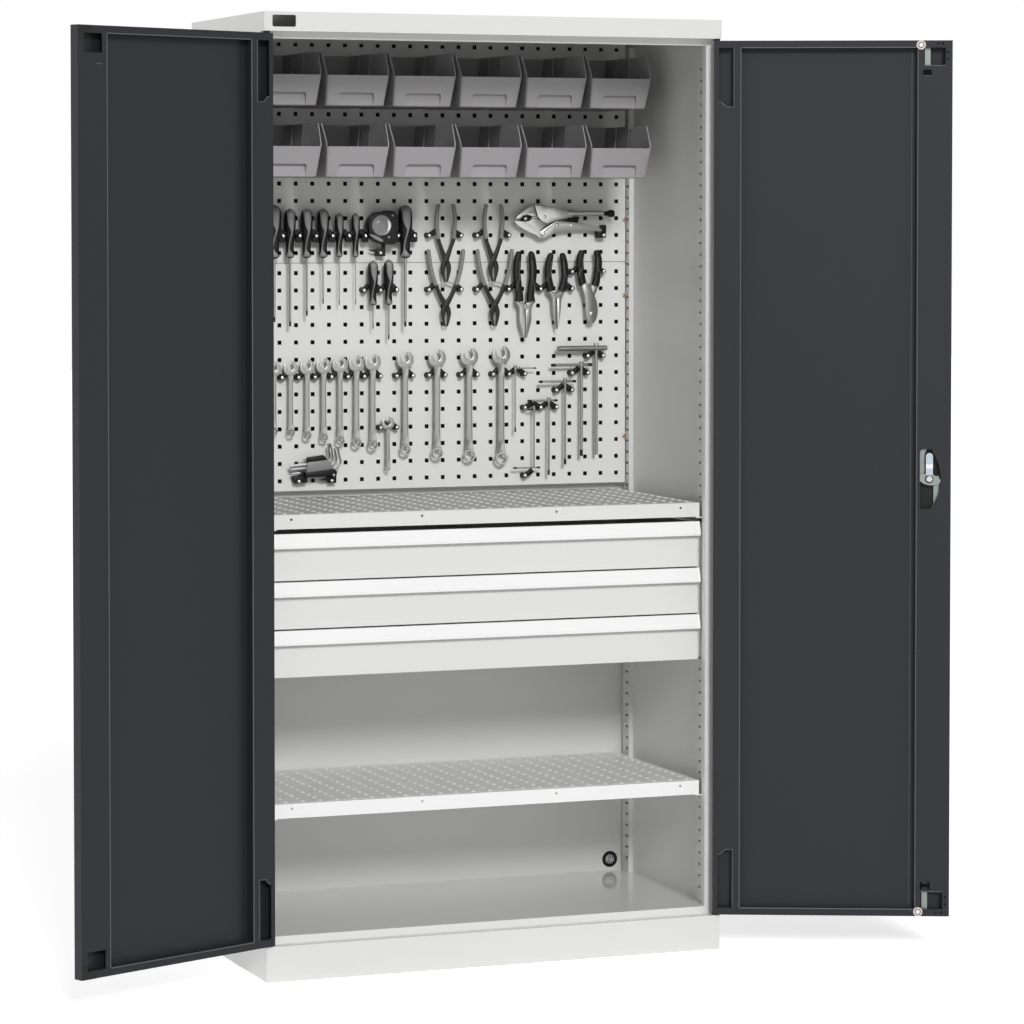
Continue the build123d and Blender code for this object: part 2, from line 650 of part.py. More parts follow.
def make_door_frame(has_lock):
    """Stiles and rails on the inside of the door, as four profiles, with the wells and windows."""
    hinge_side = stile(0, hinge_stile, "hinge")
    lock_side = stile(door_width - lock_stile, door_width, "lock")
    z_low = door_bottom + door_rail
    z_high = door_top - door_rail
    hinge_side -= well_cut(z_high, z_high - well_length)
    hinge_side -= well_cut(z_low, z_low + well_length)
    inner = door_thickness
    for z0, z1 in ((z_high - window_height, z_high), (z_low, z_low + window_height)):
        lock_side -= door_block(*window_u, inner - 2 * door_sheet, inner + door_sheet, z0, z1)
    if has_lock:
        lock_side -= lock_cut()
    rod_middle = rod_depth + rod_sheet / 2
    reach_d = (rod_middle - rod_sheet, rod_middle + rod_sheet)
    half = rod_width / 2 + rod_rail_gap
    reach_u = (rod_u - half, rod_u + half)
    top_rail = rail(z_high, door_top) - bush_hole(z_high - 1, door_top + 1)
    low_rail = rail(door_bottom, z_low) - bush_hole(door_bottom - 1, z_low + 1)
    if has_lock:
        top_rail -= door_block(*reach_u, *reach_d, z_high - 1, door_top + 1)
        low_rail -= door_block(*reach_u, *reach_d, door_bottom - 1, z_low + 1)
    return [hinge_side, lock_side, top_rail, low_rail]


def lock_cut():
    """The opening over the lock's cam: straight towards the hinge, bowed towards the free edge."""
    u0 = door_width - lock_opening_near
    u1 = door_width - lock_opening_far
    reach = lock_opening_reach
    bow = (u1 - u0) * lock_opening_bow
    upper = [(u0, reach), (u1 - bow, reach), (u1 - bow / 4, reach / 2)]
    lower = [(u, -rise) for u, rise in reversed(upper)]
    outline = [(across(u), lock_z + rise) for u, rise in upper + [(u1, 0)] + lower]
    inner = front_y + door_thickness
    return plate(outline, inner + door_sheet, inner - 2 * door_sheet)


def make_bushes():
    """The bushes in the door's top and bottom rails that turn on the hinge pins."""
    bore = pin_radius + pin_clearance
    upper = rod_z(pivot_x, pivot_y, door_top - door_rail, door_top, bush_radius)
    upper += rod_z(pivot_x, pivot_y, door_top, door_top + bush_flange, bush_flange_radius)
    upper -= rod_z(pivot_x, pivot_y, door_top - door_rail, door_top + bush_flange, bore)
    lower = rod_z(pivot_x, pivot_y, door_bottom, door_bottom + door_rail, bush_radius)
    lower += rod_z(pivot_x, pivot_y, door_bottom - bush_flange, door_bottom, bush_flange_radius)
    lower -= rod_z(pivot_x, pivot_y, door_bottom - bush_flange, door_bottom + door_rail, bore)
    return [upper, lower]


def make_corner_caps():
    """Caps over the free edge's two corners, on the door's inner face."""
    long_leg, leg_height, short_leg = cap_leg
    caps = []
    for z, grow in ((door_top, -1), (door_bottom, 1)):
        flat = door_block(door_width - long_leg, door_width, door_thickness, door_thickness + cap_sheet,
                          z, z + grow * leg_height)
        upright = door_block(door_width - leg_height, door_width, door_thickness, door_thickness + cap_sheet,
                             z, z + grow * short_leg)
        caps.append(flat + upright)
    return caps


def make_escutcheon():
    """The lock's plate on the door's outer face."""
    x = across(lock_u)
    width, height, thickness = escutcheon_size
    body = block(x - width / 2, x + width / 2, front_y - thickness, front_y, lock_z - height / 2,
                 lock_z + height / 2)
    body = fillet(body.edges().filter_by(Axis.Y), width / 4)
    body = chamfer(body.faces().sort_by(Axis.Y)[0].edges(), thickness / 4)
    return body - rod_y(x, lock_z, front_y - thickness - 1, front_y + 1, spindle_radius + pin_clearance)


def handle_back():
    """Y of the back of the handle, in front of the escutcheon."""
    return front_y - escutcheon_size[2] - handle_gap


def make_handle():
    """The handle: a hub with the key cylinder's well, and a tapered grip that hangs down."""
    x = across(lock_u)
    width, length, depth = handle_size
    back = handle_back()
    grip_outline = [(x - width / 2, lock_z), (x + width / 2, lock_z), (x + width / 3, lock_z - length),
                    (x - width / 3, lock_z - length)]
    grip = plate(grip_outline, back, back - depth)
    grip = fillet(grip.edges().filter_by(Axis.Y), width / 5)
    body = grip + rod_y(x, lock_z, back - depth, back, handle_hub_radius)
    return body - rod_y(x, lock_z, back - depth - 1, back - handle_floor, cylinder_radius + pin_clearance)


def make_key_cylinder():
    """The key cylinder in the handle's hub, with its key slot."""
    x = across(lock_u)
    back = handle_back()
    front = back - handle_size[2] - 1
    body = rod_y(x, lock_z, front, back - handle_floor - bearing_gap, cylinder_radius)
    slot_width, slot_length, slot_depth = key_slot
    return body - block(x - slot_width / 2, x + slot_width / 2, front - 1, front + slot_depth,
                        lock_z - slot_length / 2, lock_z + slot_length / 2)


def cam_depths():
    """Y of the cam plate's front and back, just inside the lock stile's face."""
    back = front_y + door_thickness - door_sheet - bearing_gap
    return back - cam_sheet, back


def make_cam():
    """The cam: a two-armed plate on the handle's spindle, and the tongue that catches the left door."""
    x = across(lock_u)
    front, back = cam_depths()
    arm = cam_radius * cam_arm_share
    waist = cam_radius * cam_waist_share
    outline = [(x - cam_radius, lock_z - arm), (x, lock_z - waist), (x + cam_radius, lock_z - arm / 3),
               (x + cam_radius, lock_z + arm), (x, lock_z + waist), (x - cam_radius, lock_z + arm / 3)]
    cam = plate(outline, back, front)
    tongue_front = front_y + door_thickness + bearing_gap
    tongue_back = tongue_front + tongue_sheet
    cam += rod_y(x, lock_z, handle_back(), tongue_back + tongue_sheet, spindle_radius)
    half = tongue_width / 2
    tip = lock_z + tongue_length
    tongue_outline = [(x - half, lock_z), (x + half, lock_z), (x + half, tip - half), (x + half / 2, tip),
                      (x - half / 2, tip), (x - half, tip - half)]
    return cam + plate(tongue_outline, tongue_back, tongue_front)


def make_rod(grow):
    """A lock rod: a flat bar that steps aside near the cam, with a pin under the cam's arm. grow is 1 up."""
    offset = upper_rod_offset if grow > 0 else lower_rod_offset
    near = lock_z - grow * rod_overlap
    bend0 = near + grow * rod_bend
    bend1 = bend0 + grow * abs(offset) * 2
    end = (door_top if grow > 0 else door_bottom) - grow * (rod_travel - rod_reach)
    half = rod_width / 2
    line = [(rod_u + offset, near), (rod_u + offset, bend0), (rod_u, bend1), (rod_u, end)]
    right_side = [(across(u - half), z) for u, z in line]
    left_side = [(across(u + half), z) for u, z in reversed(line)]
    front = front_y + rod_depth
    bar = plate(right_side + left_side, front + rod_sheet, front)
    pin_end = cam_depths()[0] - bearing_gap
    return bar + rod_y(across(rod_u + offset), lock_z, front, pin_end, rod_pin_radius)


def make_rod_guides():
    """Guides on the door's sheet that the rods slide in: two posts and a cross strip behind each rod."""
    guides = []
    half = rod_width / 2 + bearing_gap
    from_end = door_rail + window_height + guide_distance
    for z in (door_top - from_end, door_bottom + from_end):
        z0 = z - guide_height / 2
        z1 = z + guide_height / 2
        body = door_block(rod_u - half, rod_u + half, door_sheet, rod_depth - bearing_gap, z0, z1)
        for u in (rod_u - half - guide_post, rod_u + half):
            body += door_block(u, u + guide_post, door_sheet, rod_depth + rod_sheet, z0, z1)
        guides.append(body)
    return guides


def roller_centres():
    """Heights of the two rollers on the right door's inner face."""
    return door_top - roller_inset, door_bottom + roller_inset


def make_roller(z):
    """A roller that helps the free edge run in, turning on its pin."""
    x = across(roller_u)
    y0 = door_inner_y + bearing_gap
    body = rod_y(x, z, y0, y0 + roller_thickness, roller_radius)
    return body - rod_y(x, z, y0 - 1, y0 + roller_thickness + 1, roller_pin_radius + pin_clearance)


def make_roller_pins():
    """The rollers' headed pins, riveted to the door's rails."""
    x = across(roller_u)
    head_radius, head = roller_head
    shoulder = door_inner_y + roller_thickness + 2 * bearing_gap
    pins = []
    for z in roller_centres():
        pins.append(rod_y(x, z, door_inner_y, shoulder, roller_pin_radius)
                    + rod_y(x, z, shoulder, shoulder + head, head_radius))
    return pins


def open_right(shape):
    """Turns a closed right-door piece to the open position."""
    return shape.rotate(Axis((pivot_x, pivot_y, 0), (0, 0, 1)), right_door_open)


def open_left(shape):
    """Mirrors a closed right-door piece to the left door and opens it."""
    return mirrored(shape).rotate(Axis((-pivot_x, pivot_y, 0), (0, 0, 1)), -left_door_open)


# ---------------------------------------------------------------- drawers
def drawer_top(index):
    """Upper edge of a drawer's front; index 0 is the top drawer."""
    return first_drawer_top - index * drawer_pitch


def runner_middle_z(index):
    """Height of a drawer's runners."""
    bottom = drawer_top(index) - drawer_front_height
    return bottom + drawer_box_lift + drawer_box_height / 2


def drawer_back_face():
    """Y of the back face of the drawer fronts, where boxes and runners start."""
    return front_y + drawer_front_inset + drawer_front_sheet


def make_drawer_box(index):
    """The drawer's tray, behind its front."""
    y0 = drawer_back_face()
    y1 = y0 + drawer_box_depth
    z0 = drawer_top(index) - drawer_front_height + drawer_box_lift
    z1 = z0 + drawer_box_height
    wall = drawer_box_sheet
    clear = drawer_half_box - wall
    tray = block(-drawer_half_box, drawer_half_box, y0, y1, z0, z1)
    return tray - block(-clear, clear, y0 + wall, y1 - wall, z0 + wall, z1)


def make_drawer_front(index):
    """The drawer's front: a flat sheet."""
    half = drawer_front_half
    y0 = front_y + drawer_front_inset
    top = drawer_top(index)
    return block(-half, half, y0, y0 + drawer_front_sheet, top - drawer_front_height, top)


def make_drawer_grip(index):
    """The full-width grip along the front's upper edge: it slopes outwards to a lip that fingers pull."""
    y0 = front_y + drawer_front_inset
    top = drawer_top(index)
    low = top - grip_height
    nose = y0 - grip_depth
    shoulder = y0 - grip_depth * grip_shoulder
    inner_nose = nose + grip_sheet
    inner_top = top - grip_sheet
    outline = [(y0, top), (shoulder, top), (nose, low + grip_lip), (nose, low), (inner_nose, low),
               (inner_nose, low + grip_lip), (shoulder + grip_sheet / 2, inner_top), (y0, inner_top)]
    return prism_x(outline, -drawer_front_half, drawer_front_half)


def runner_bars(x_inner, thickness, index):
    """A pair of runner members, one at each side of a drawer."""
    y0 = drawer_back_face() + bearing_gap
    z = runner_middle_z(index)
    bar = block(x_inner, x_inner + thickness, y0, y0 + drawer_box_depth - 2, z - runner_height / 2,
                z + runner_height / 2)
    groove = block(x_inner + thickness / 2, x_inner + thickness, y0, y0 + drawer_box_depth - 2,
                   z - runner_height / 4, z + runner_height / 4)
    bar -= groove
    return [bar, mirrored(bar)]


def runner_places():
    """Inner X of the drawer, middle and housing runner members, from the drawer's side outwards."""
    drawer_member = drawer_half_box
    middle_member = drawer_member + runner_member + runner_gap
    housing_member = middle_member + runner_middle + runner_gap
    return drawer_member, middle_member, housing_member


def make_drawer_housing():
    """The side frames that carry the runners: channels between the front and the rear posts."""
    inner = runner_places()[2] + runner_member
    y0 = drawer_back_face() + housing_front_gap
    y1 = rear_post_front + rear_post_depth / 2
    top = drawer_top(0) - housing_margin
    bottom = drawer_top(2) - drawer_front_height + housing_margin
    frame = block(inner, post_face, y0, y1, bottom, top)
    wall = housing_wall
    frame -= block(inner + wall, post_face, y0 + wall, y1 - wall, bottom + wall, top - wall)
    return [frame, mirrored(frame)]


# ---------------------------------------------------------------- storage bins
def bin_prism(profile, half_top, half_bottom):
    """A body over a side profile in Y and Z, whose two flanks lean in from the top to the bottom."""
    body = prism_x(profile, -half_top, half_top)
    ys = [y for y, _ in profile]
    zs = [z for _, z in profile]
    lean = (half_top - half_bottom) / bin_height
    low = min(zs) - 1
    high = max(zs) + 1
    for side in (-1, 1):
        at_low = half_bottom + lean * low
        at_high = half_bottom + lean * high
        clear = side * 2 * half_top
        flank = [(side * at_low, low), (side * at_high, high), (clear, high), (clear, low)]
        body -= plate(flank, max(ys) + 1, min(ys) - 1)
    return body


def make_bin():
    """One open-fronted bin, its lower edge at Z = 0: flanks that slope to a low lip, and a label recess."""
    back = peg_front - bin_rail_sheet
    wall = bin_wall
    nose = bin_lip_y - bin_foot_y
    outline = [(back, 0), (back, bin_height), (bin_shoulder_y, bin_height), (bin_lip_y, bin_lip_height),
               (bin_foot_y, 0)]
    outside = bin_prism(outline, bin_half_top, bin_half_bottom)
    foot = bin_foot_y + wall
    high = wall + 2 * bin_lip_height
    hollow = [(foot, wall), (foot + 2 * nose, high), (back - wall, high), (back - wall, wall)]
    body = outside - bin_prism(hollow, bin_half_top - wall, bin_half_bottom - wall)
    width, height = bin_label
    recess = [(foot, 0), (foot, height + wall), (bin_lip_y, height + wall), (bin_lip_y, 0)]
    behind = prism_x(recess, -width / 2 - wall, width / 2 + wall)
    body += behind & outside
    return body - block(-width / 2, width / 2, bin_lip_y, bin_foot_y, -1, height)


def bin_places():
    """X of each bin's middle."""
    first = -bin_pitch * (bin_columns - 1) / 2
    return [first + bin_pitch * i for i in range(bin_columns)]


def make_bin_rails():
    """The strips on the tool panel that the bins hang from."""
    half = bin_pitch * bin_columns / 2
    rails = []
    for rise in bin_row_rises:
        z0 = peg_seam + rise + bin_rail_lift
        rails.append(block(-half, half, peg_front - bin_rail_sheet, peg_front, z0, z0 + bin_rail_height))
    return rails


# ---------------------------------------------------------------- hanging tools
def row_level(row):
    """Height of a row of the panels' holes."""
    if row >= 0:
        return peg_seam + peg_row_margin + row * peg_pitch
    return peg_seam - peg_row_margin + (row + 1) * peg_pitch


def tool_x(place):
    """X of a hanging tool: its place, spread with the panel's width."""
    return place * tool_spread


def hook(place, row, span):
    """A tool holder: a bar between the panel and the back of a tool."""
    x = tool_x(place)
    z = row_level(row)
    return block(x - span / 2, x + span / 2, tool_back, peg_front, z - hook_height / 2, z + hook_height / 2)


def grip_share(down):
    """Half-width of a screwdriver's grip at a share of its length from the top, as a share of its radius."""
    for (share0, down0), (share1, down1) in zip(screwdriver_profile, screwdriver_profile[1:]):
        if down <= down1:
            return share0 + (share1 - share0) * (down - down0) / (down1 - down0)
    return screwdriver_profile[-1][0]


def make_screwdriver(place, row, rise, grip, radius, length, blade_radius):
    """A screwdriver hanging point down: a waisted grip, which rests on its holder, and a round blade."""
    x = tool_x(place)
    y = tool_back - radius * grip_share((rise - hook_height / 2) / grip)
    top = row_level(row) + rise
    outline = [(radius * share, -grip * down) for share, down in screwdriver_profile]
    face = Plane.XZ * Polygon((0, 0), *outline, (0, -grip), align=None)
    handle = Pos(x, y, top) * revolve(face, Axis.Z)
    return [handle, rod_z(x, y, top - length, top - grip, blade_radius)]


def share_of(pair, length):
    """A size that grows with a tool's length: a fixed part and a share."""
    fixed, share = pair
    return fixed + share * length


def make_spanner(place, row, length):
    """A combination spanner: an open jaw up, a ring down."""
    x = tool_x(place)
    top = row_level(row) + share_of(spanner_rise, length)
    jaw = share_of(spanner_jaw, length)
    ring = share_of(spanner_ring, length)
    low_half = ring * spanner_shank_share
    high_half = low_half * spanner_taper
    jaw_z = top - jaw * spanner_taper
    ring_z = top - length + ring
    front = tool_back - spanner_sheet
    outline = [(x + low_half, ring_z), (x + high_half, jaw_z), (x - high_half, jaw_z), (x - low_half, ring_z)]
    spanner = plate(outline, tool_back, front)
    spanner += rod_y(x, jaw_z, front, tool_back, jaw)
    spanner += rod_y(x, ring_z, front, tool_back, ring)
    spanner -= rod_y(x, ring_z, front - spanner_sheet, tool_back + 1, ring * spanner_hole_share)
    width, depth = (jaw * share for share in spanner_throat)
    throat = Rot(0, spanner_tilt, 0) * Pos(0, 0, depth / 2) * Box(width, 3 * spanner_sheet, depth)
    return spanner - Pos(x, tool_back, jaw_z) * throat


def strip(line, x, z, mirror_x):
    """An outline along an upright centre line: places from x and z, each with its half-width."""
    right = [(x + mirror_x * u + w, z + v) for u, v, w in line]
    left = [(x + mirror_x * u - w, z + v) for u, v, w in reversed(line)]
    return right + left


def make_pliers(kind, place, row, rise, length):
    """Pliers hanging jaws down: two levers, one in front of the other, on a rivet."""
    x = tool_x(place)
    low = row_level(row) + rise - length
    line = [(u, v * length, w) for u, v, w in plier_lines[kind]]
    pivot = low + plier_pivots[kind] * length
    pieces = []
    for layer, side in ((0, 1), (1, -1)):
        y0 = tool_back - layer * plier_sheet
        lever = plate(strip(line, x, low, side), y0, y0 - plier_sheet)
        lever += rod_y(x, pivot, y0 - plier_sheet, y0, plier_boss_radius)
        pieces.append(lever - rod_y(x, pivot, y0 - 2 * plier_sheet, y0 + 1, plier_pivot_radius))
    pieces.append(rod_y(x, pivot, tool_back - 2 * plier_sheet, tool_back, plier_pivot_radius))
    return pieces


def make_locking_pliers():
    """Locking pliers lying across: the upper body with its jaw and screw tube, and the lower lever."""
    place, row, rise = locking_pliers_place
    x = tool_x(place)
    z = row_level(row) + rise
    front = tool_back - locking_pliers_sheet
    pieces = []
    for shares in (locking_pliers_body, locking_pliers_lever):
        outline = [(x + u * locking_pliers_length, z + v * locking_pliers_length) for u, v in shares]
        pieces.append(plate(outline, tool_back, front))
    return pieces


def make_key_bar(place, row, rise, length, bar_rise, left, right):
    """A hex key with a cross bar: a bar down, and a bar to the left and to the right near its top."""
    x = tool_x(place)
    y = tool_back - key_bar_radius
    level = row_level(row)
    return (rod_z(x, y, level + rise - length, level + rise, key_bar_radius)
            + rod_x(y, level + bar_rise, x - left, x + right, key_bar_radius))


def make_key_set():
    """The hex-key set: a holder with its keys fanned out of it, as one flat body."""
    place, row, rise = key_set_place
    x0 = tool_x(place) - key_set_width / 2
    x1 = x0 + key_set_width
    z0 = row_level(row) + rise - key_set_height / 2
    z1 = z0 + key_set_height
    outline = [(x0, z1 - key_set_cut), (x0 + key_set_cut, z1), (x1, z1 - key_set_slope),
               (x1, z0 + key_set_chamfer), (x1 - key_set_chamfer, z0), (x0 + key_set_cut / 2, z0 + key_set_cut)]
    body = plate(outline, tool_back, tool_back - key_set_thickness)
    return fillet(body.edges().filter_by(Axis.Y), key_set_rounding)


def make_tape_measure():
    """The tape measure's round case."""
    place, row, rise = tape_place
    z = row_level(row) + rise
    return rod_y(tool_x(place), z, tool_back - tape_thickness, tool_back, tape_radius)


# ---------------------------------------------------------------- write every piece
side_panel = make_side_panel()
write("side_panel_right", side_panel)
write("side_panel_left", mirrored(side_panel))
write("back_panel", make_back_panel())
write("top_cap", make_top_cap())
write("front_lintel", make_front_lintel())
write("floor_panel", make_floor_panel())
write("plinth", make_plinth())
write("plinth_runner", make_plinth_runner())
front_post = make_front_post()
write("front_posts", front_post, mirrored(front_post))
rear_post = make_rear_post()
write("rear_posts", rear_post, mirrored(rear_post))
pegboard = make_pegboard()
write("pegboard_upper", Pos(0, 0, peg_seam) * pegboard)
write("pegboard_lower", Pos(0, 0, peg_seam - peg_height) * pegboard)
write("pegboard_clips", *make_pegboard_clips())
write("work_shelf", make_shelf(work_shelf_top))
write("lower_shelf", make_shelf(lower_shelf_top))
write("shelf_brackets", *make_shelf_brackets())
write("cable_grommet", make_cable_grommet())
write("hinge_pins", *make_hinge_pins())

write("right_door_skin", open_right(make_door_skin(True)))
write("left_door_skin", open_left(make_door_skin(False)))
write("right_door_frame", *[open_right(piece) for piece in make_door_frame(True)])
write("left_door_frame", *[open_left(piece) for piece in make_door_frame(False)])
bushes = make_bushes()
write("right_hinge_bushes", *[open_right(piece) for piece in bushes])
write("left_hinge_bushes", *[open_left(piece) for piece in bushes])
write("left_door_corner_caps", *[open_left(piece) for piece in make_corner_caps()])
write("lock_escutcheon", open_right(make_escutcheon()))
write("door_handle", open_right(make_handle()))
write("key_cylinder", open_right(make_key_cylinder()))
write("lock_cam", open_right(make_cam()))
write("upper_rod", open_right(make_rod(1)))
write("lower_rod", open_right(make_rod(-1)))
write("rod_guides", *[open_right(piece) for piece in make_rod_guides()])
top_centre, bottom_centre = roller_centres()
write("top_roller", open_right(make_roller(top_centre)))
write("bottom_roller", open_right(make_roller(bottom_centre)))
write("roller_pins", *[open_right(piece) for piece in make_roller_pins()])

drawer_member, middle_member, housing_member = runner_places()
housing_bars = []
for i in range(3):
    write(f"drawer_box_{i + 1}", make_drawer_box(i), *runner_bars(drawer_member, runner_member, i))
    write(f"drawer_front_{i + 1}", make_drawer_front(i))
    write(f"drawer_grip_{i + 1}", make_drawer_grip(i))
    write(f"middle_runners_{i + 1}", *runner_bars(middle_member, runner_middle, i))
    housing_bars.extend(runner_bars(housing_member, runner_member, i))
write("fixed_runners", *housing_bars)
write("drawer_housing", *make_drawer_housing())

one_bin = make_bin()
for name, rise in zip(("bins_upper", "bins_lower"), bin_row_rises):
    write(name, *[Pos(x, 0, peg_seam + rise) * one_bin for x in bin_places()])
write("bin_rails", *make_bin_rails())

hooks = []
screwdrivers = []
for row_of_table in screwdriver_table:
    screwdrivers.extend(make_screwdriver(*row_of_table))
    hooks.append(hook(row_of_table[0], row_of_table[1], hook_narrow))
write("screwdrivers", *screwdrivers)
spanners = []
for place, row, length in spanner_table:
    spanners.append(make_spanner(place, row, length))
    hooks.append(hook(place, row, hook_narrow))
write("spanners", *spanners)
pliers = []
for kind, place, row, rise, length in pliers_hung:
    pliers.extend(make_pliers(kind, place, row, rise, length))
    hooks.append(hook(place, row, hook_wide))
write("pliers", *pliers)
write("locking_pliers", *make_locking_pliers())
for place, row in locking_pliers_hooks:
    hooks.append(hook(place, row, hook_narrow))
keys = []
for row_of_table in key_bars:
    keys.append(make_key_bar(*row_of_table))
    hooks.append(hook(row_of_table[0], row_of_table[1], hook_narrow))
write("cross_bar_keys", *keys)
write("hex_key_set", make_key_set())
hooks.append(hook(key_set_place[0], key_set_place[1], hook_wide))
write("tape_measure", make_tape_measure())
hooks.append(hook(tape_place[0], tape_place[1], hook_narrow))
write("tool_hooks", *hooks)
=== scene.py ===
import json
import math

import bmesh
import bpy
import numpy as np
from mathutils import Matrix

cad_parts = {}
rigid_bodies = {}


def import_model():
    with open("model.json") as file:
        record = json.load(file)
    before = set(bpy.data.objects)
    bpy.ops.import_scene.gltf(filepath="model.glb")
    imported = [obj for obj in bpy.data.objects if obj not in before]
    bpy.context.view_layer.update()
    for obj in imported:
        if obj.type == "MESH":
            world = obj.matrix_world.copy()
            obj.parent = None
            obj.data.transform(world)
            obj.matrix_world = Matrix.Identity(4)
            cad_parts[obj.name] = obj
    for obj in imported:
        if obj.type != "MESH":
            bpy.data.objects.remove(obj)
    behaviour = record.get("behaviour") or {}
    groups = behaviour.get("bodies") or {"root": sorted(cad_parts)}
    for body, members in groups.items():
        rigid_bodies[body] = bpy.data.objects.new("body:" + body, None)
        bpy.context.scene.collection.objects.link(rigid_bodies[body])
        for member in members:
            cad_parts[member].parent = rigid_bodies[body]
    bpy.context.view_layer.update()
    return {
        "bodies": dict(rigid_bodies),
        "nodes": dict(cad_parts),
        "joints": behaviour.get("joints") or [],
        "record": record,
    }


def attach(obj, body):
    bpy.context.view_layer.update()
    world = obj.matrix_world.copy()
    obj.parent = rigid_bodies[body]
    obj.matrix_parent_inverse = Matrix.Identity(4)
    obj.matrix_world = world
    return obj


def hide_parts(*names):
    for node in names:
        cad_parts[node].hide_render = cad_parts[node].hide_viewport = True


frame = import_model()
print("frame loaded:", len(frame["nodes"]), "nodes")

# Lengths in the dictionaries are millimetres; addPiece turns them into metres.
millimetre = 0.001

# Places that several pieces share: the cabinet's front plane, the tool panels' face, the plane that
# the tools' backs touch, the panels' joint, and the rows of holes, which are counted from the joint.
cabinet = dict(front=-262.5, panelFront=233.0, toolBack=218.0, panelSeam=1478.0, rowMargin=22.0,
               rowPitch=38.0)
# A closed door's hinge edge and hinge line, and how far each door stands open, in degrees.
door = dict(edgeX=510.0, pivotX=504.2, pivotY=-254.1, rightOpen=156.3, leftOpen=156.1)

# Camera: its place in metres, its angles in degrees.
photoView = dict(
    place=(-2.86472, -7.75828, 1.58653), pitch=2.2217, yaw=21.122,
    lens=134.56, sensor=36.0, shiftUp=-0.1465, farClip=200.0,
)


def placeCamera(view):
    data = bpy.data.cameras.new("camera")
    data.lens = view["lens"]
    data.sensor_width = view["sensor"]
    data.shift_y = view["shiftUp"]
    data.clip_end = view["farClip"]
    camera = bpy.data.objects.new("camera", data)
    camera.location = view["place"]
    camera.rotation_euler = (math.radians(90 - view["pitch"]), 0, -math.radians(view["yaw"]))
    bpy.context.scene.collection.objects.link(camera)
    bpy.context.scene.camera = camera


placeCamera(photoView)
print("camera placed")


# Materials
def linear(red, green, blue):
    # A colour as seen on a screen, 0 to 255, as the light values that the shader takes.
    share = np.array([red, green, blue]) / 255
    values = np.where(share <= 0.04045, share / 12.92, ((share + 0.055) / 1.055) ** 2.4)
    return (*values.tolist(), 1.0)


def newGroup(name, inputs, outputs):
    # inputs: name -> (socket type, starting value); outputs: name -> socket type
    group = bpy.data.node_groups.new(name, "ShaderNodeTree")
    for label, (kind, value) in inputs.items():
        socket = group.interface.new_socket(label, in_out="INPUT", socket_type=kind)
        socket.default_value = value
    for label, kind in outputs.items():
        group.interface.new_socket(label, in_out="OUTPUT", socket_type=kind)
    return group, group.nodes.new("NodeGroupInput"), group.nodes.new("NodeGroupOutput")


def mathNode(tree, operation, first, second):
    node = tree.nodes.new("ShaderNodeMath")
    node.operation = operation
    for socket, value in zip(node.inputs, (first, second)):
        if isinstance(value, (int, float)):
            socket.default_value = value
        else:
            tree.links.new(value, socket)
    return node.outputs[0]


def noiseNode(tree, vector, scale, detail):
    node = tree.nodes.new("ShaderNodeTexNoise")
    tree.links.new(vector, node.inputs["Vector"])
    tree.links.new(scale, node.inputs["Scale"])
    node.inputs["Detail"].default_value = detail
    node.inputs["Roughness"].default_value = 0.5
    return node.outputs["Fac"]


def objectCoordinates(tree, stretch=(1, 1, 1)):
    place = tree.nodes.new("ShaderNodeTexCoord")
    mapping = tree.nodes.new("ShaderNodeMapping")
    mapping.inputs["Scale"].default_value = stretch
    tree.links.new(place.outputs["Object"], mapping.inputs["Vector"])
    return mapping.outputs["Vector"]


grainShare = 0.4            # of the mix of fine grain and broad clouds
cloudDetail = 3.0
bumpDistance = 0.0004       # metres


def makeSurfaceGroup(name, stretch, fineDetail):
    # Fine grain and broad clouds over a surface: the colour, roughness and height each vary a little.
    group, inside, outside = newGroup(
        name,
        {"Colour": ("NodeSocketColor", (1, 1, 1, 1)), "Roughness": ("NodeSocketFloat", 0.4),
         "Grain Scale": ("NodeSocketFloat", 900.0), "Cloud Scale": ("NodeSocketFloat", 4.0),
         "Shade Variation": ("NodeSocketFloat", 0.03), "Gloss Variation": ("NodeSocketFloat", 0.05)},
        {"Colour": "NodeSocketColor", "Roughness": "NodeSocketFloat", "Height": "NodeSocketFloat"})
    vector = objectCoordinates(group, stretch)
    grain = noiseNode(group, vector, inside.outputs["Grain Scale"], fineDetail)
    cloud = noiseNode(group, vector, inside.outputs["Cloud Scale"], cloudDetail)
    both = mathNode(group, "ADD", mathNode(group, "MULTIPLY", grain, grainShare),
                    mathNode(group, "MULTIPLY", cloud, 1 - grainShare))
    centred = mathNode(group, "SUBTRACT", both, 0.5)
    varied = mathNode(group, "MULTIPLY", centred, inside.outputs["Shade Variation"])
    shade = mathNode(group, "ADD", varied, 1.0)
    scaled = group.nodes.new("ShaderNodeVectorMath")
    scaled.operation = "SCALE"
    group.links.new(inside.outputs["Colour"], scaled.inputs[0])
    group.links.new(shade, scaled.inputs["Scale"])
    group.links.new(scaled.outputs[0], outside.inputs["Colour"])
    gloss = mathNode(group, "MULTIPLY", centred, inside.outputs["Gloss Variation"])
    group.links.new(mathNode(group, "ADD", gloss, inside.outputs["Roughness"]), outside.inputs["Roughness"])
    group.links.new(grain, outside.inputs["Height"])
    return group


paintGrain = makeSurfaceGroup("paintGrain", (1, 1, 1), 2.0)
brushedGrain = makeSurfaceGroup("brushedGrain", (1, 1, 0.04), 3.0)
plasticGrain = makeSurfaceGroup("plasticGrain", (1, 1, 1), 1.0)


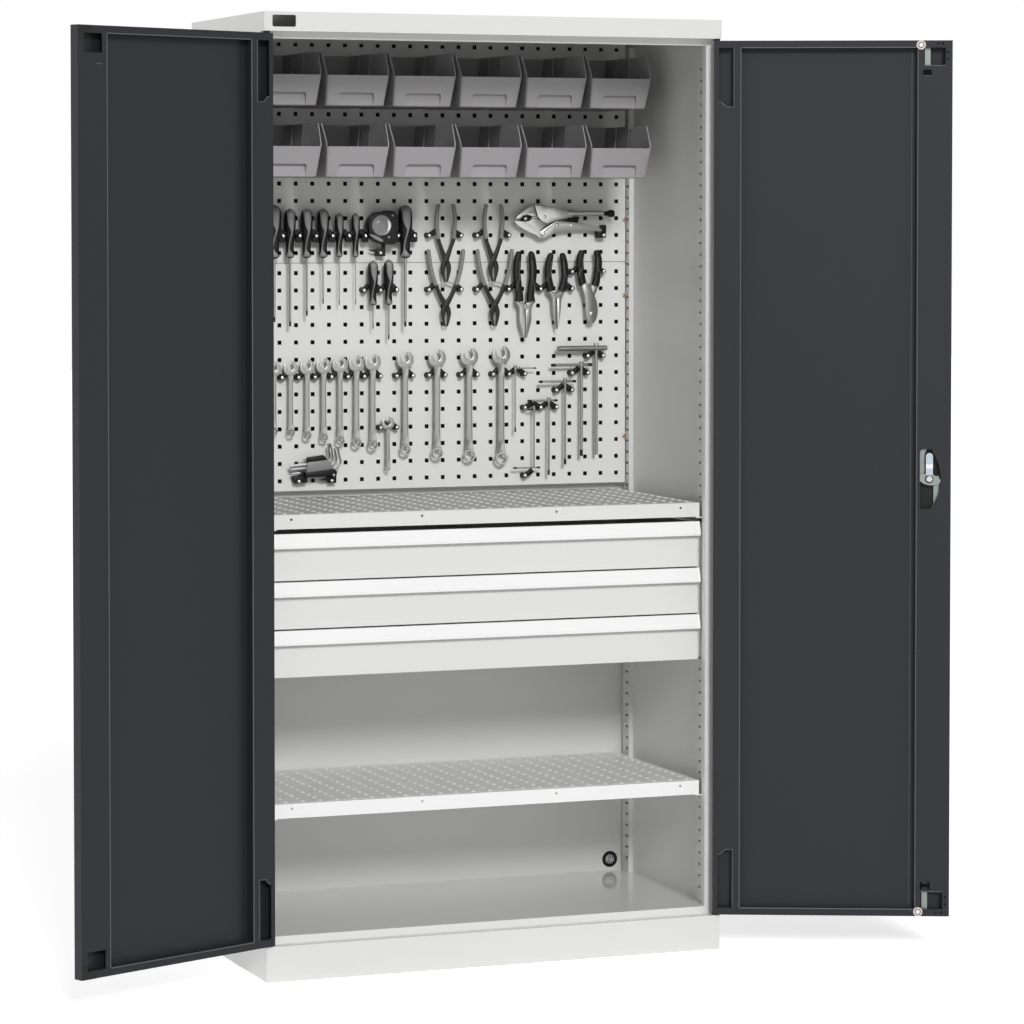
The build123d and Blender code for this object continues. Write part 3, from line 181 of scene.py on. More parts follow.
def makeFinish(name, group, colour, roughness, metallic=0.0, coat=0.0, coatRoughness=0.1, grainScale=900.0,
               cloudScale=4.0, shade=0.04, gloss=0.06, bump=0.05, specular=0.5):
    material = bpy.data.materials.new(name)
    material.use_nodes = True
    tree = material.node_tree
    shader = tree.nodes["Principled BSDF"]
    shader.inputs["Metallic"].default_value = metallic
    shader.inputs["Coat Weight"].default_value = coat
    shader.inputs["Coat Roughness"].default_value = coatRoughness
    shader.inputs["Specular IOR Level"].default_value = specular
    node = tree.nodes.new("ShaderNodeGroup")
    node.node_tree = group
    node.inputs["Colour"].default_value = colour
    node.inputs["Roughness"].default_value = roughness
    node.inputs["Grain Scale"].default_value = grainScale
    node.inputs["Cloud Scale"].default_value = cloudScale
    node.inputs["Shade Variation"].default_value = shade
    node.inputs["Gloss Variation"].default_value = gloss
    height = tree.nodes.new("ShaderNodeBump")
    height.inputs["Strength"].default_value = bump
    height.inputs["Distance"].default_value = bumpDistance
    tree.links.new(node.outputs["Colour"], shader.inputs["Base Color"])
    tree.links.new(node.outputs["Roughness"], shader.inputs["Roughness"])
    tree.links.new(node.outputs["Height"], height.inputs["Height"])
    tree.links.new(height.outputs["Normal"], shader.inputs["Normal"])
    return material


finishes = dict(
    carcassPaint=makeFinish("carcassPaint", paintGrain, linear(228, 228, 226), 0.36, grainScale=1400,
                            bump=0.08),
    gripWhite=makeFinish("gripWhite", paintGrain, linear(247, 247, 247), 0.3, grainScale=1400, bump=0.03),
    matGrey=makeFinish("matGrey", plasticGrain, linear(174, 175, 172), 0.5, grainScale=1800, bump=0.08),
    doorPaint=makeFinish("doorPaint", paintGrain, linear(38, 39, 44), 0.45, grainScale=1500, bump=0.12,
                         shade=0.1, specular=0.25),
    # Lighter than the door's paint: a painted highlight for the doors' rounded folds.
    doorEdge=makeFinish("doorEdge", paintGrain, linear(88, 90, 95), 0.32, grainScale=1500, bump=0.1,
                        shade=0.1),
    zincBright=makeFinish("zincBright", brushedGrain, linear(182, 192, 200), 0.22, metallic=0.9,
                          grainScale=500, shade=0.1),
    floorPaint=makeFinish("floorPaint", paintGrain, linear(228, 228, 226), 0.36, coat=1.0,
                          coatRoughness=0.07, bump=0.02),
    # Near black: painted shade inside the doors' punched holes and slots.
    deepBlack=makeFinish("deepBlack", plasticGrain, linear(5, 5, 5), 0.8, specular=0.1),
    blackPlastic=makeFinish("blackPlastic", plasticGrain, linear(20, 20, 21), 0.4, grainScale=2500,
                            bump=0.1, specular=0.3),
    zincSteel=makeFinish("zincSteel", brushedGrain, linear(136, 141, 138), 0.4, metallic=0.85,
                         grainScale=600, shade=0.15, gloss=0.15),
    brassClip=makeFinish("brassClip", brushedGrain, linear(196, 178, 166), 0.35, metallic=0.7, shade=0.2),
    rollerPlastic=makeFinish("rollerPlastic", plasticGrain, linear(222, 207, 200), 0.45, shade=0.08),
    binPlastic=makeFinish("binPlastic", plasticGrain, linear(161, 159, 161), 0.45, grainScale=2600,
                          bump=0.12),
    satinSteel=makeFinish("satinSteel", brushedGrain, linear(158, 158, 156), 0.36, metallic=1.0,
                          grainScale=800, shade=0.12, gloss=0.15),
    brightSteel=makeFinish("brightSteel", brushedGrain, linear(196, 196, 194), 0.3, metallic=1.0,
                           grainScale=500, shade=0.15, gloss=0.15),
    hookBlack=makeFinish("hookBlack", paintGrain, linear(14, 14, 15), 0.45, bump=0.1, specular=0.25),
    grommetRubber=makeFinish("grommetRubber", plasticGrain, linear(14, 14, 15), 0.6, bump=0.15,
                             specular=0.25),
    gripRubber=makeFinish("gripRubber", plasticGrain, linear(16, 16, 17), 0.45, grainScale=1800, bump=0.15,
                          specular=0.3),
    greyPlastic=makeFinish("greyPlastic", plasticGrain, linear(132, 132, 132), 0.35, shade=0.08),
    chrome=makeFinish("chrome", brushedGrain, linear(205, 206, 208), 0.16, metallic=1.0, shade=0.05,
                      gloss=0.05),
    blackSteel=makeFinish("blackSteel", paintGrain, linear(26, 26, 26), 0.4, bump=0.15, specular=0.35),
)
slotOfFinish = dict(
    carcassPaint="carcass_paint", gripWhite="grip_white", doorPaint="door_paint", hookBlack="hook_black",
    blackPlastic="black_plastic", zincSteel="zinc_steel", brassClip="brass_clip", satinSteel="tool_steel",
    rollerPlastic="roller_plastic", binPlastic="bin_plastic", grommetRubber="grommet_rubber",
)
finishOfSlot = {slot: finish for finish, slot in slotOfFinish.items()}
slotOfFinish.update(gripRubber="black_plastic", greyPlastic="black_plastic", chrome="tool_steel",
                    blackSteel="tool_steel", brightSteel="tool_steel", matGrey="carcass_paint",
                    doorEdge="door_paint", zincBright="zinc_steel", floorPaint="carcass_paint",
                    deepBlack="hook_black")


# Painted shade for the dark space behind the tool panels, in metres: above its bottom and in front of the
# plane front, the back sheet's colour is taken down to a share of itself, so the panels' holes show dark.
hollow = dict(bottom=0.984, front=0.2618, shade=0.012)


def paintShadeBehindPanels(size):
    # The carcass's paint with painted shade: darkened on the back sheet's inner face behind the tool panels.
    material = makeFinish("backPaintedShade", paintGrain, linear(228, 228, 226), 0.36, grainScale=1400, bump=0.08)
    tree = material.node_tree
    shader = tree.nodes["Principled BSDF"]
    colour = shader.inputs["Base Color"].links[0].from_socket
    split = tree.nodes.new("ShaderNodeSeparateXYZ")
    tree.links.new(objectCoordinates(tree), split.inputs[0])
    above = mathNode(tree, "GREATER_THAN", split.outputs["Z"], size["bottom"])
    inside = mathNode(tree, "LESS_THAN", split.outputs["Y"], size["front"])
    mask = mathNode(tree, "MULTIPLY", above, inside)
    share = mathNode(tree, "SUBTRACT", 1.0, mathNode(tree, "MULTIPLY", mask, 1 - size["shade"]))
    scaled = tree.nodes.new("ShaderNodeVectorMath")
    scaled.operation = "SCALE"
    tree.links.new(colour, scaled.inputs[0])
    tree.links.new(share, scaled.inputs["Scale"])
    tree.links.new(scaled.outputs[0], shader.inputs["Base Color"])
    return material


def dressNodes():
    # Every CAD node takes the finish of the slot that the record gives it, apart from these three.
    # The lower shelf's whiter paint is a painted highlight: the same carcass paint, drawn lighter.
    own = dict(floor_panel=finishes["floorPaint"], lower_shelf=finishes["gripWhite"],
               back_panel=paintShadeBehindPanels(hollow))
    for part in frame["record"]["subparts"]:
        materials = frame["nodes"][part["node"]].data.materials
        materials.clear()
        materials.append(own.get(part["node"], finishes[finishOfSlot[part["material_slot"]]]))


dressNodes()
print("nodes dressed")


# Shapes: a shape is (points, faces), its points in millimetres in the cabinet's own frame.
def gridFaces(rows, columns, closeRows=False):
    # Quads between neighbours of a grid whose points are numbered row by row.
    # The last column joins the first, and on request the last row does too.
    row, column = np.meshgrid(np.arange(rows if closeRows else rows - 1), np.arange(columns), indexing="ij")
    right, down = (column + 1) % columns, (row + 1) % rows
    corners = (row * columns + column, row * columns + right, down * columns + right, down * columns + column)
    return np.stack(corners, -1).reshape(-1, 4).tolist()


def skin(rings):
    # A closed surface through rings of points (ring, point, xyz), with the first and the last ring filled in.
    count, around = rings.shape[:2]
    faces = gridFaces(count, around)
    faces.append(list(range(around)))
    faces.append(list(range((count - 1) * around, count * around)))
    return rings.reshape(-1, 3), faces


def turned(profile, centre, axis="z", sides=24, loop=False):
    # A body of revolution: each (radius, height) of the profile becomes a circle round the axis
    # through the centre. A looped profile, such as a ring's, joins its last circle to its first.
    profile = np.array(profile, float)
    angle = np.linspace(0, 2 * np.pi, sides, endpoint=False)
    cos, sin = np.outer(profile[:, 0], np.cos(angle)), np.outer(profile[:, 0], np.sin(angle))
    along = np.repeat(profile[:, 1][:, None], sides, 1)
    order = dict(x=(along, cos, sin), y=(cos, along, sin), z=(cos, sin, along))[axis]
    rings = np.stack(order, -1) + np.array(centre, float)
    if loop:
        return rings.reshape(-1, 3), gridFaces(len(profile), sides, closeRows=True)
    return skin(rings)


def throughPoints(points, count, closed=False):
    # A smooth line through the points: Catmull-Rom's cubic blend of four neighbours, at evenly spread places.
    points = np.array(points, float)
    if closed:
        padded = np.concatenate([points[-1:], points, points[:2]])
    else:
        padded = np.concatenate([2 * points[:1] - points[1:2], points, 2 * points[-1:] - points[-2:-1]])
    spans = len(padded) - 3
    place = np.linspace(0, spans, count, endpoint=not closed)
    index = np.minimum(place.astype(int), spans - 1)
    t = (place - index)[:, None]
    a, b, c, d = (padded[index + k] for k in range(4))
    cubic = (3 * b - a - 3 * c + d) * t ** 3
    return 0.5 * (2 * b + (c - a) * t + (2 * a - 5 * b + 4 * c - d) * t ** 2 + cubic)


def swept(path, wide, deep, sides=16, power=2.0, facing=(0, -1, 0)):
    # A bar along a path. Its section is a superellipse: |across / wide| ^ power + |out / deep| ^ power = 1.
    path = np.array(path, float)
    wide = np.broadcast_to(np.array(wide, float), len(path))
    deep = np.broadcast_to(np.array(deep, float), len(path))
    tangent = np.gradient(path, axis=0)
    tangent /= np.linalg.norm(tangent, axis=1, keepdims=True)
    side = np.cross(tangent, np.array(facing, float))
    side /= np.linalg.norm(side, axis=1, keepdims=True)
    out = np.cross(side, tangent)
    angle = np.linspace(0, 2 * np.pi, sides, endpoint=False) + np.pi / sides
    cos, sin = np.cos(angle), np.sin(angle)
    u = np.sign(cos) * np.abs(cos) ** (2 / power)
    v = np.sign(sin) * np.abs(sin) ** (2 / power)
    across = side[:, None] * (wide[:, None] * u)[..., None]
    outwards = out[:, None] * (deep[:, None] * v)[..., None]
    return skin(path[:, None] + across + outwards)


def inset(outline, distance):
    # A closed outline moved inwards: each point goes along the mean of its two edges' inner normals.
    before = outline - np.roll(outline, 1, 0)
    after = np.roll(outline, -1, 0) - outline
    before /= np.linalg.norm(before, axis=1, keepdims=True) + 1e-9
    after /= np.linalg.norm(after, axis=1, keepdims=True) + 1e-9
    normal = np.stack([-(before + after)[:, 1], (before + after)[:, 0]], -1)
    normal /= np.linalg.norm(normal, axis=1, keepdims=True) + 1e-9
    area = np.sum(outline[:, 0] * np.roll(outline[:, 1], -1) - np.roll(outline[:, 0], -1) * outline[:, 1])
    return outline + normal * distance * np.sign(area)


def plateShape(outline, back, front, edge=0.6):
    # A flat plate over an outline in X and Z, from Y = back to Y = front, its rims rounded in two steps.
    outline = np.array(outline, float)
    steps = ((1.0, 0.0), (0.3, 0.3), (0.0, 1.0))      # inwards and along Y, as shares of the edge
    rings = []
    for level, direction, order in ((back, -1, steps), (front, 1, steps[::-1])):
        for inwards, depth in order:
            ring = inset(outline, inwards * edge)
            y = np.full(len(ring), level + direction * depth * edge)
            rings.append(np.column_stack([ring[:, 0], y, ring[:, 1]]))
    return skin(np.array(rings))


def circle(x, z, radius, count=32, start=0.0, turn=360.0):
    # Points round a circle in X and Z, from a starting angle over a turn in degrees.
    closed = abs(turn) >= 360
    angle = np.radians(np.linspace(start, start + turn, count, endpoint=not closed))
    return np.column_stack([x + radius * np.cos(angle), z + radius * np.sin(angle)])


def roundedBox(x0, x1, z0, z1, radius, count=5):
    # The outline of a rectangle in X and Z whose corners are quarter circles.
    corners = ((x1 - radius, z1 - radius, 0), (x0 + radius, z1 - radius, 90), (x0 + radius, z0 + radius, 180),
               (x1 - radius, z0 + radius, 270))
    return np.concatenate([circle(x, z, radius, count, start, 90) for x, z, start in corners])


def boxPlate(box, radius, back, front, edge, count=5):
    # A plate over a rounded rectangle, given as (x0, x1, z0, z1).
    return plateShape(roundedBox(*box, radius, count), back, front, edge)


def straightLine(start, end, y):
    # The start, middle and end of a line between two places in X and Z, at one depth or at three.
    (x0, z0), (x1, z1) = start, end
    return np.column_stack([(x0, (x0 + x1) / 2, x1), np.broadcast_to(y, 3), (z0, (z0 + z1) / 2, z1)])


def atDepth(points, y):
    # Places in X and Z, given a depth.
    return [(x, y, z) for x, z in points]


def joined(shapes):
    # Several shapes as one: points one after the other, faces renumbered.
    points, faces, start = [], [], 0
    for shapePoints, shapeFaces in shapes:
        points.append(shapePoints)
        faces.extend([[number + start for number in face] for face in shapeFaces])
        start += len(shapePoints)
    return np.concatenate(points), faces


def copies(shape, places):
    # The same shape at several places, each an (x, y, z) shift.
    points, faces = shape
    places = np.array(places, float)
    allPoints = (places[:, None] + points[None]).reshape(-1, 3)
    allFaces = [[number + k * len(points) for number in face] for k in range(len(places)) for face in faces]
    return allPoints, allFaces


def mirroredShape(shape):
    # The shape on the other side of the cabinet's middle.
    return shape[0] * np.array([-1, 1, 1]), shape[1]


def addPiece(name, shape, finish, body="carcass", stands=(), angle=40):
    # Makes the mesh in metres, turns its faces outwards, smooths it up to an angle and fixes it to its body.
    points, faces = shape
    mesh = bpy.data.meshes.new(name)
    mesh.from_pydata((points * millimetre).tolist(), [], faces)
    work = bmesh.new()
    work.from_mesh(mesh)
    bmesh.ops.recalc_face_normals(work, faces=work.faces)
    work.to_mesh(mesh)
    work.free()
    mesh.polygons.foreach_set("use_smooth", np.ones(len(mesh.polygons), bool))
    mesh.set_sharp_from_angle(angle=math.radians(angle))
    mesh.materials.append(finishes[finish])
    piece = bpy.data.objects.new(name, mesh)
    bpy.context.scene.collection.objects.link(piece)
    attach(piece, body)
    if stands:
        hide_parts(*stands)


def rowLevel(row):
    # Height of a row of the panels' holes: rows count up from 0 above the seam and down from -1 below it.
    if row >= 0:
        return cabinet["panelSeam"] + cabinet["rowMargin"] + row * cabinet["rowPitch"]
    return cabinet["panelSeam"] - cabinet["rowMargin"] + (row + 1) * cabinet["rowPitch"]


# Bins
bins = dict(
    columns=6, pitch=152.0, bottoms=(1816.0, 1664.0), back=230.0, height=115.0, topHalf=73.5, bottomHalf=65.5,
    lipHeight=65.0, lipY=-28.0, footY=-4.0, shoulderY=6.0, wall=2.2, corner=6.0, backCorner=3.0,
    rimFall=0.6, footRound=(2.0, 1.5),        # the rim's rounding; the foot's, inwards and upwards
    label=(40.0, 28.0, 6.0),                  # half the width, the height and the corner radius of its recess
    # the front's other columns, the step of the recess's nearly sharp edge, and the
    # shares at which the flank's slanting rim has points, from the lip to the shoulder
    frontColumns=(20.0, 50.0), step=0.05, rise=(0.15, 0.5, 1.0),
    ribs=((34.0, 0.0), (78.0, 6.5), (79.0, 2.0), (90.0, 2.0), (91.0, 5.0), (150.0, 5.0), (151.0, 2.5),
          (165.0, 2.5), (166.0, 5.0), (222.0, 5.0)),      # the inner flanks: Y and how far they stand in
)


def binRing(size, low, high, wallInset, ribbed=False):
    # One ring of a bin's wall. Each point's height is low at the front and
    # high at the flanks' and back's rims; the flanks lean by height, the front
    # leans from the foot to the lip, and the label's recess is vertical.
    labelHalf, labelHeight, labelRound = size["label"]
    centreColumn, sideColumn = size["frontColumns"]
    r, backCorner = size["corner"] - wallInset * 0.5, size["backCorner"]
    lean = (size["topHalf"] - size["bottomHalf"]) / size["height"]
    half = lambda z: size["bottomHalf"] + lean * z - wallInset
    frontY = lambda z: size["footY"] + (size["lipY"] - size["footY"]) * z / size["lipHeight"] + wallInset
    points = []
    inner = labelHalf + wallInset
    arc = np.radians(np.linspace(90, 0, 4))
    columns = [0.0, centreColumn] + list(inner - labelRound + labelRound * np.cos(arc))
    heights = [labelHeight] * 2 + list(labelHeight - labelRound + labelRound * np.sin(arc))
    for x, recessTop in zip(columns, heights):
        z, recessed = (low(recessTop + wallInset) if callable(low) else (low, False))
        points.append((x, size["footY"] + wallInset if recessed else frontY(z), z))
    z = low(labelHeight + wallInset)[0] if callable(low) else low
    for x in (inner + size["step"], sideColumn):
        points.append((x, frontY(z), z))
    for turn in np.radians(np.linspace(-75, 0, 4)):
        points.append((half(z) - r + r * np.cos(turn), frontY(z) + r + r * np.sin(turn), z))
    base = z
    for share in size["rise"]:
        rimY = size["lipY"] + (size["shoulderY"] - size["lipY"]) * share
        rimZ = size["lipHeight"] + (size["height"] - size["lipHeight"]) * share
        z = base if high is None else rimZ + high
        y = (frontY(base) + (size["shoulderY"] - frontY(base)) * share) if high is None else rimY
        points.append((half(z), max(y, frontY(base) + r), z))
    z = base if high is None else size["height"] + high
    for y, rib in size["ribs"]:
        points.append((half(z) - (rib if ribbed else 0.0), y, z))
    back = size["back"] - wallInset
    for turn in np.radians(np.linspace(0, 90, 3)):
        points.append((half(z) - backCorner + backCorner * np.cos(turn),
                       back - backCorner + backCorner * np.sin(turn), z))
    points.append((0.0, back, z))
    right = np.array(points)
    left = right[1:-1][::-1] * np.array([-1, 1, 1])
    return np.concatenate([right, left])


def makeBin(size):
    # From the bottom up the outside, over the rim and down the inside.
    wall, step, lip, fall = size["wall"], size["step"], size["lipHeight"], size["rimFall"]
    footIn, footUp = size["footRound"]
    rimIn = 0.5
    rings = [
        binRing(size, 0.0, None, footIn),
        binRing(size, lambda top: (footUp, True), None, 0.0),
        binRing(size, lambda top: (top - step, True), None, 0.0),
        binRing(size, lambda top: (top + step, False), None, 0.0),
        binRing(size, lip - fall, -fall, 0.0),
        binRing(size, lip, 0.0, rimIn),
        binRing(size, lip, 0.0, wall - rimIn, True),
        binRing(size, lip - fall, -fall, wall, True),
        binRing(size, lambda top: (top + step, False), None, wall, True),
        binRing(size, lambda top: (top - step, True), None, wall, True),
        binRing(size, lambda top: (wall + 1.0, True), None, wall, True),
        binRing(size, wall, None, wall + footIn, True),
    ]
    return skin(np.array(rings))


def placeBins(size):
    shape = makeBin(size)
    first = -size["pitch"] * (size["columns"] - 1) / 2
    for name, bottom in zip(("bins_upper", "bins_lower"), size["bottoms"]):
        places = [(first + size["pitch"] * k, 0, bottom) for k in range(size["columns"])]
        addPiece(name.replace("bins_", "bins") + "Row", copies(shape, places), "binPlastic", stands=(name,),
                 angle=30)


placeBins(bins)
print("bins made")


# Screwdrivers
screwdrivers = dict(
    # place, row, rise of the grip's top above its row, grip length, grip radius, whole length, blade radius
    each=((-344, 1, 67, 117, 16.0, 255, 3.0), (-307.2, 1, 59, 108, 13.0, 257, 2.8),
          (-268.8, 1, 59, 108, 13.3, 234, 2.4), (-231.3, 1, 59, 108, 13.3, 208, 1.6),
          (-193.2, 1, 49, 97, 10.0, 201, 1.3), (-155.2, 1, 49, 97, 9.5, 201, 1.0),
          (-41.2, 1, 67, 117, 16.0, 268, 3.0), (-114.8, -2, 65, 99, 11.3, 150, 1.5),
          (-78.2, -2, 67, 100, 11.3, 176, 2.0)),
    # the grip's half-width by its length, both as shares, from the top down
    grip=((0.0, 0.05), (0.012, 0.34), (0.03, 0.62), (0.07, 0.86), (0.13, 0.97), (0.25, 1.0), (0.4, 0.98),
          (0.5, 0.9), (0.6, 0.78), (0.72, 0.69), (0.86, 0.68), (0.93, 0.75), (0.965, 0.72), (0.99, 0.5),
          (1.0, 0.25)),
    # the inlay by the length: its middle and its half-width,
    # in degrees round the grip from the photograph's side
    inlay=((0.012, 10, 120), (0.03, 10, 85), (0.06, 12, 60), (0.1, 15, 46), (0.16, 16, 38), (0.25, 16, 35),
           (0.34, 20, 28), (0.41, 26, 18), (0.46, 29, 9), (0.55, 20, 6.5), (0.68, 0, 7), (0.8, -12, 8),
           (0.86, -6, 18), (0.9, 0, 36), (0.94, 4, 60), (0.975, 4, 75)),
    inlayRise=0.35, inlayDepth=0.8, turnToView=-21.0,
    # the tip from its root down: level above its end,
    # half-width and half-depth as shares of the blade's radius
    tip=((11.0, 0.9, 0.9), (7.0, 0.9, 0.7), (4.0, 0.9, 0.35), (0.0, 0.8, 0.2)),
    # how far above its row a grip rests on its holder, and how much of the blade is inside the grip
    seat=5.0, bladeInGrip=3.0,
)


def gripRadius(size, share):
    # The grip's half-width at a share of its length, by straight steps between the table's rows.
    table = np.array(size["grip"])
    return np.interp(share, table[:, 0], table[:, 1])


def makeGrip(size, x, top, length, radius, y):
    share = np.unique(np.concatenate([np.array(size["grip"])[:, 0], np.linspace(0, 1, 40)]))
    profile = np.column_stack([gripRadius(size, share) * radius, top - share * length])
    return turned(profile, (x, y, 0), "z", 28)


def makeInlay(size, x, top, length, radius, y):
    # A band that lies on the grip: at each height an arc round
    # its middle angle, just proud, closed by an arc inside.
    table = np.array(size["inlay"])
    share = np.linspace(table[0, 0], table[-1, 0], 60)
    middle = np.interp(share, table[:, 0], table[:, 1]) + size["turnToView"]
    half = np.interp(share, table[:, 0], table[:, 2])
    reach = np.linspace(-1, 1, 13)
    angle = np.radians(middle[:, None] + half[:, None] * reach[None])
    r = gripRadius(size, share)[:, None] * radius
    edge = np.sqrt(np.clip(1 - reach[None] ** 6, 0, 1))
    outer = r + size["inlayRise"] * edge
    inner = r - size["inlayDepth"]
    level = np.repeat((top - share * length)[:, None], len(reach), 1)
    front, hidden = (np.stack([x + radii * np.sin(angle), y - radii * np.cos(angle), level], -1)
                     for radii in (outer, inner))
    return skin(np.concatenate([front, hidden[:, ::-1]], 1))


def makeBlade(size, x, y, top, bottom, radius):
    # A round bar and its darkened tip, which is forged flat: wider across and thin from front to back.
    level, wide, deep = np.array(size["tip"]).T
    tip = np.column_stack([np.full(len(level), x), np.full(len(level), y), bottom + level])
    root = tip[0, 2]
    bar = swept([(x, y, top), (x, y, (top + root) / 2), (x, y, root)], radius, radius, 14)
    return bar, swept(tip, radius * wide, radius * deep, 14)


def placeScrewdrivers(size):
    grips, inlays, blades, tips = [], [], [], []
    for x, row, rise, grip, radius, length, bladeRadius in size["each"]:
        top = rowLevel(row) + rise
        y = cabinet["toolBack"] - radius * gripRadius(size, (rise - size["seat"]) / grip)
        grips.append(makeGrip(size, x, top, grip, radius, y))
        inlays.append(makeInlay(size, x, top, grip, radius, y))
        blade, tip = makeBlade(size, x, y, top - grip + size["bladeInGrip"], top - length, bladeRadius)
        blades.append(blade)
        tips.append(tip)
    addPiece("screwdriverGrips", joined(grips), "gripRubber", stands=("screwdrivers",))
    addPiece("screwdriverInlays", joined(inlays), "greyPlastic")
    addPiece("screwdriverBlades", joined(blades), "satinSteel")
    addPiece("screwdriverTips", joined(tips), "blackSteel")


placeScrewdrivers(screwdrivers)
print("screwdrivers made")

# Combination spanners
spanners = dict(
    # place, row and length
    each=((-342, -7, 158), (-304, -7, 164), (-266, -7, 173), (-228, -7, 182), (-190, -7, 192),
          (-152, -7, 201), (-114, -7, 210), (-38, -7, 228), (37, -7, 242), (113, -7, 252), (189, -7, 264),
          (-79, -10, 117.5)),
    # a fixed part and a share of the length, for the rise above
    # the row, both ends' radii and the shank's half-width
    rise=(-8.7, 0.264), jaw=(9.5, 0.0445), ring=(-2.6, 0.067), shank=(2.2, 0.0205),
    thickness=6.0, tilt=17.0, jawEdge=0.9,
    # shares of the head's radius: the throat's half-width, the middle of its floor and where its sides end
    throat=(0.46, 0.16, 0.8), throatClear=4.0,
    rim=1.5, hollow=0.9, bevel=0.8, rimCorner=(0.5, 0.7),       # the shank's section
    # how much wider the shank's two ends are, how fast that ends, and how fast the hollow does
    flare=(0.35, 0.3, 14.0), fade=9.0,
    # the head's middle below the top and the shank's reach into both ends, as shares of those ends' radii;
    # the shank's upper width as a share of its lower one
    headDrop=0.85, overlap=0.8, taper=0.9,
    ringThickness=9.0, ringHole=0.66, ringBevel=(1.2, 1.4, 1.6),
)


def makeJaw(size, x, z, radius):
    # The open end: a round head with a throat cut into it,
    # turned by the tilt so that its right arm stands higher.
    width, floor, sides = size["throat"]
    throat = radius * width
    gap = math.degrees(math.asin(throat / radius)) + size["throatClear"]
    outside = circle(0, 0, radius, 30, 90 - gap, -(360 - 2 * gap))
    throatFloor = circle(0, radius * floor, throat, 10, 180, 180)
    outline = np.concatenate([outside, [[-throat, radius * sides]], throatFloor, [[throat, radius * sides]]])
    turn = math.radians(size["tilt"])
    cos, sin = math.cos(turn), math.sin(turn)
    outline = outline @ np.array([[cos, sin], [-sin, cos]]) + np.array([x, z])
    back = cabinet["toolBack"]
    return plateShape(outline, back, back - size["thickness"], size["jawEdge"])


def makeShank(size, x, low, high, lowHalf, highHalf):
    # The bar between the ends: at each height a section with
    # a raised rim at both edges and a flat hollow between.
    share = np.linspace(0, 1, 14)
    lowFlare, highFlare, reach = size["flare"]
    half = lowHalf + (highHalf - lowHalf) * share
    half = half + (lowHalf * lowFlare) * np.exp(-share * reach)
    half = half + (highHalf * highFlare) * np.exp(-(1 - share) * reach)
    fade = np.clip(np.minimum(share, 1 - share) * size["fade"], 0, 1)
    depth, rim, hollow, bevel = size["thickness"], size["rim"], size["hollow"], size["bevel"]
    cornerIn, cornerDown = size["rimCorner"]
    rings = []
    for z, w, f in zip(low + (high - low) * share, half, fade):
        left = np.array([-w + bevel, -w, -w, -w + cornerIn, -w + rim, -w + rim + bevel])
        out = np.array([0, bevel, depth - cornerDown, depth, depth, depth - hollow * f])
        across = np.concatenate([left, -left[::-1]])
        y = cabinet["toolBack"] - np.concatenate([out, out[::-1]])
        rings.append(np.column_stack([x + across, y, np.full(len(y), z)]))
    return skin(np.array(rings))


def makeRingEnd(size, x, z, radius):
    # The closed end: a collar with rounded rims, a little thicker than the bar.
    inner, half = radius * size["ringHole"], size["ringThickness"] / 2
    small, wide, tall = size["ringBevel"]
    loop = [(inner, half - small), (inner + small, half), (radius - wide, half), (radius, half - tall),
            (radius, -half + tall), (radius - wide, -half), (inner + small, -half), (inner, -half + small)]
    return turned(loop, (x, cabinet["toolBack"] - half, z), "y", 36, loop=True)


def placeSpanners(size):
    shapes, ends = [], []
    for x, row, length in size["each"]:
        grow = lambda pair: pair[0] + pair[1] * length
        top = rowLevel(row) + grow(size["rise"])
        jaw, ring, shank = grow(size["jaw"]), grow(size["ring"]), grow(size["shank"])
        jawLevel, ringLevel = top - jaw * size["headDrop"], top - length + ring
        low, high = ringLevel + ring * size["overlap"], jawLevel - jaw * size["overlap"]
        shapes.append(makeJaw(size, x, jawLevel, jaw))
        shapes.append(makeShank(size, x, low, high, shank, shank * size["taper"]))
        ends.append(makeRingEnd(size, x, ringLevel, ring))
    addPiece("spannerShanks", joined(shapes), "satinSteel", stands=("spanners",), angle=30)
    addPiece("spannerEnds", joined(ends), "brightSteel", stands=("spanners",), angle=30)


placeSpanners(spanners)
print("spanners made")

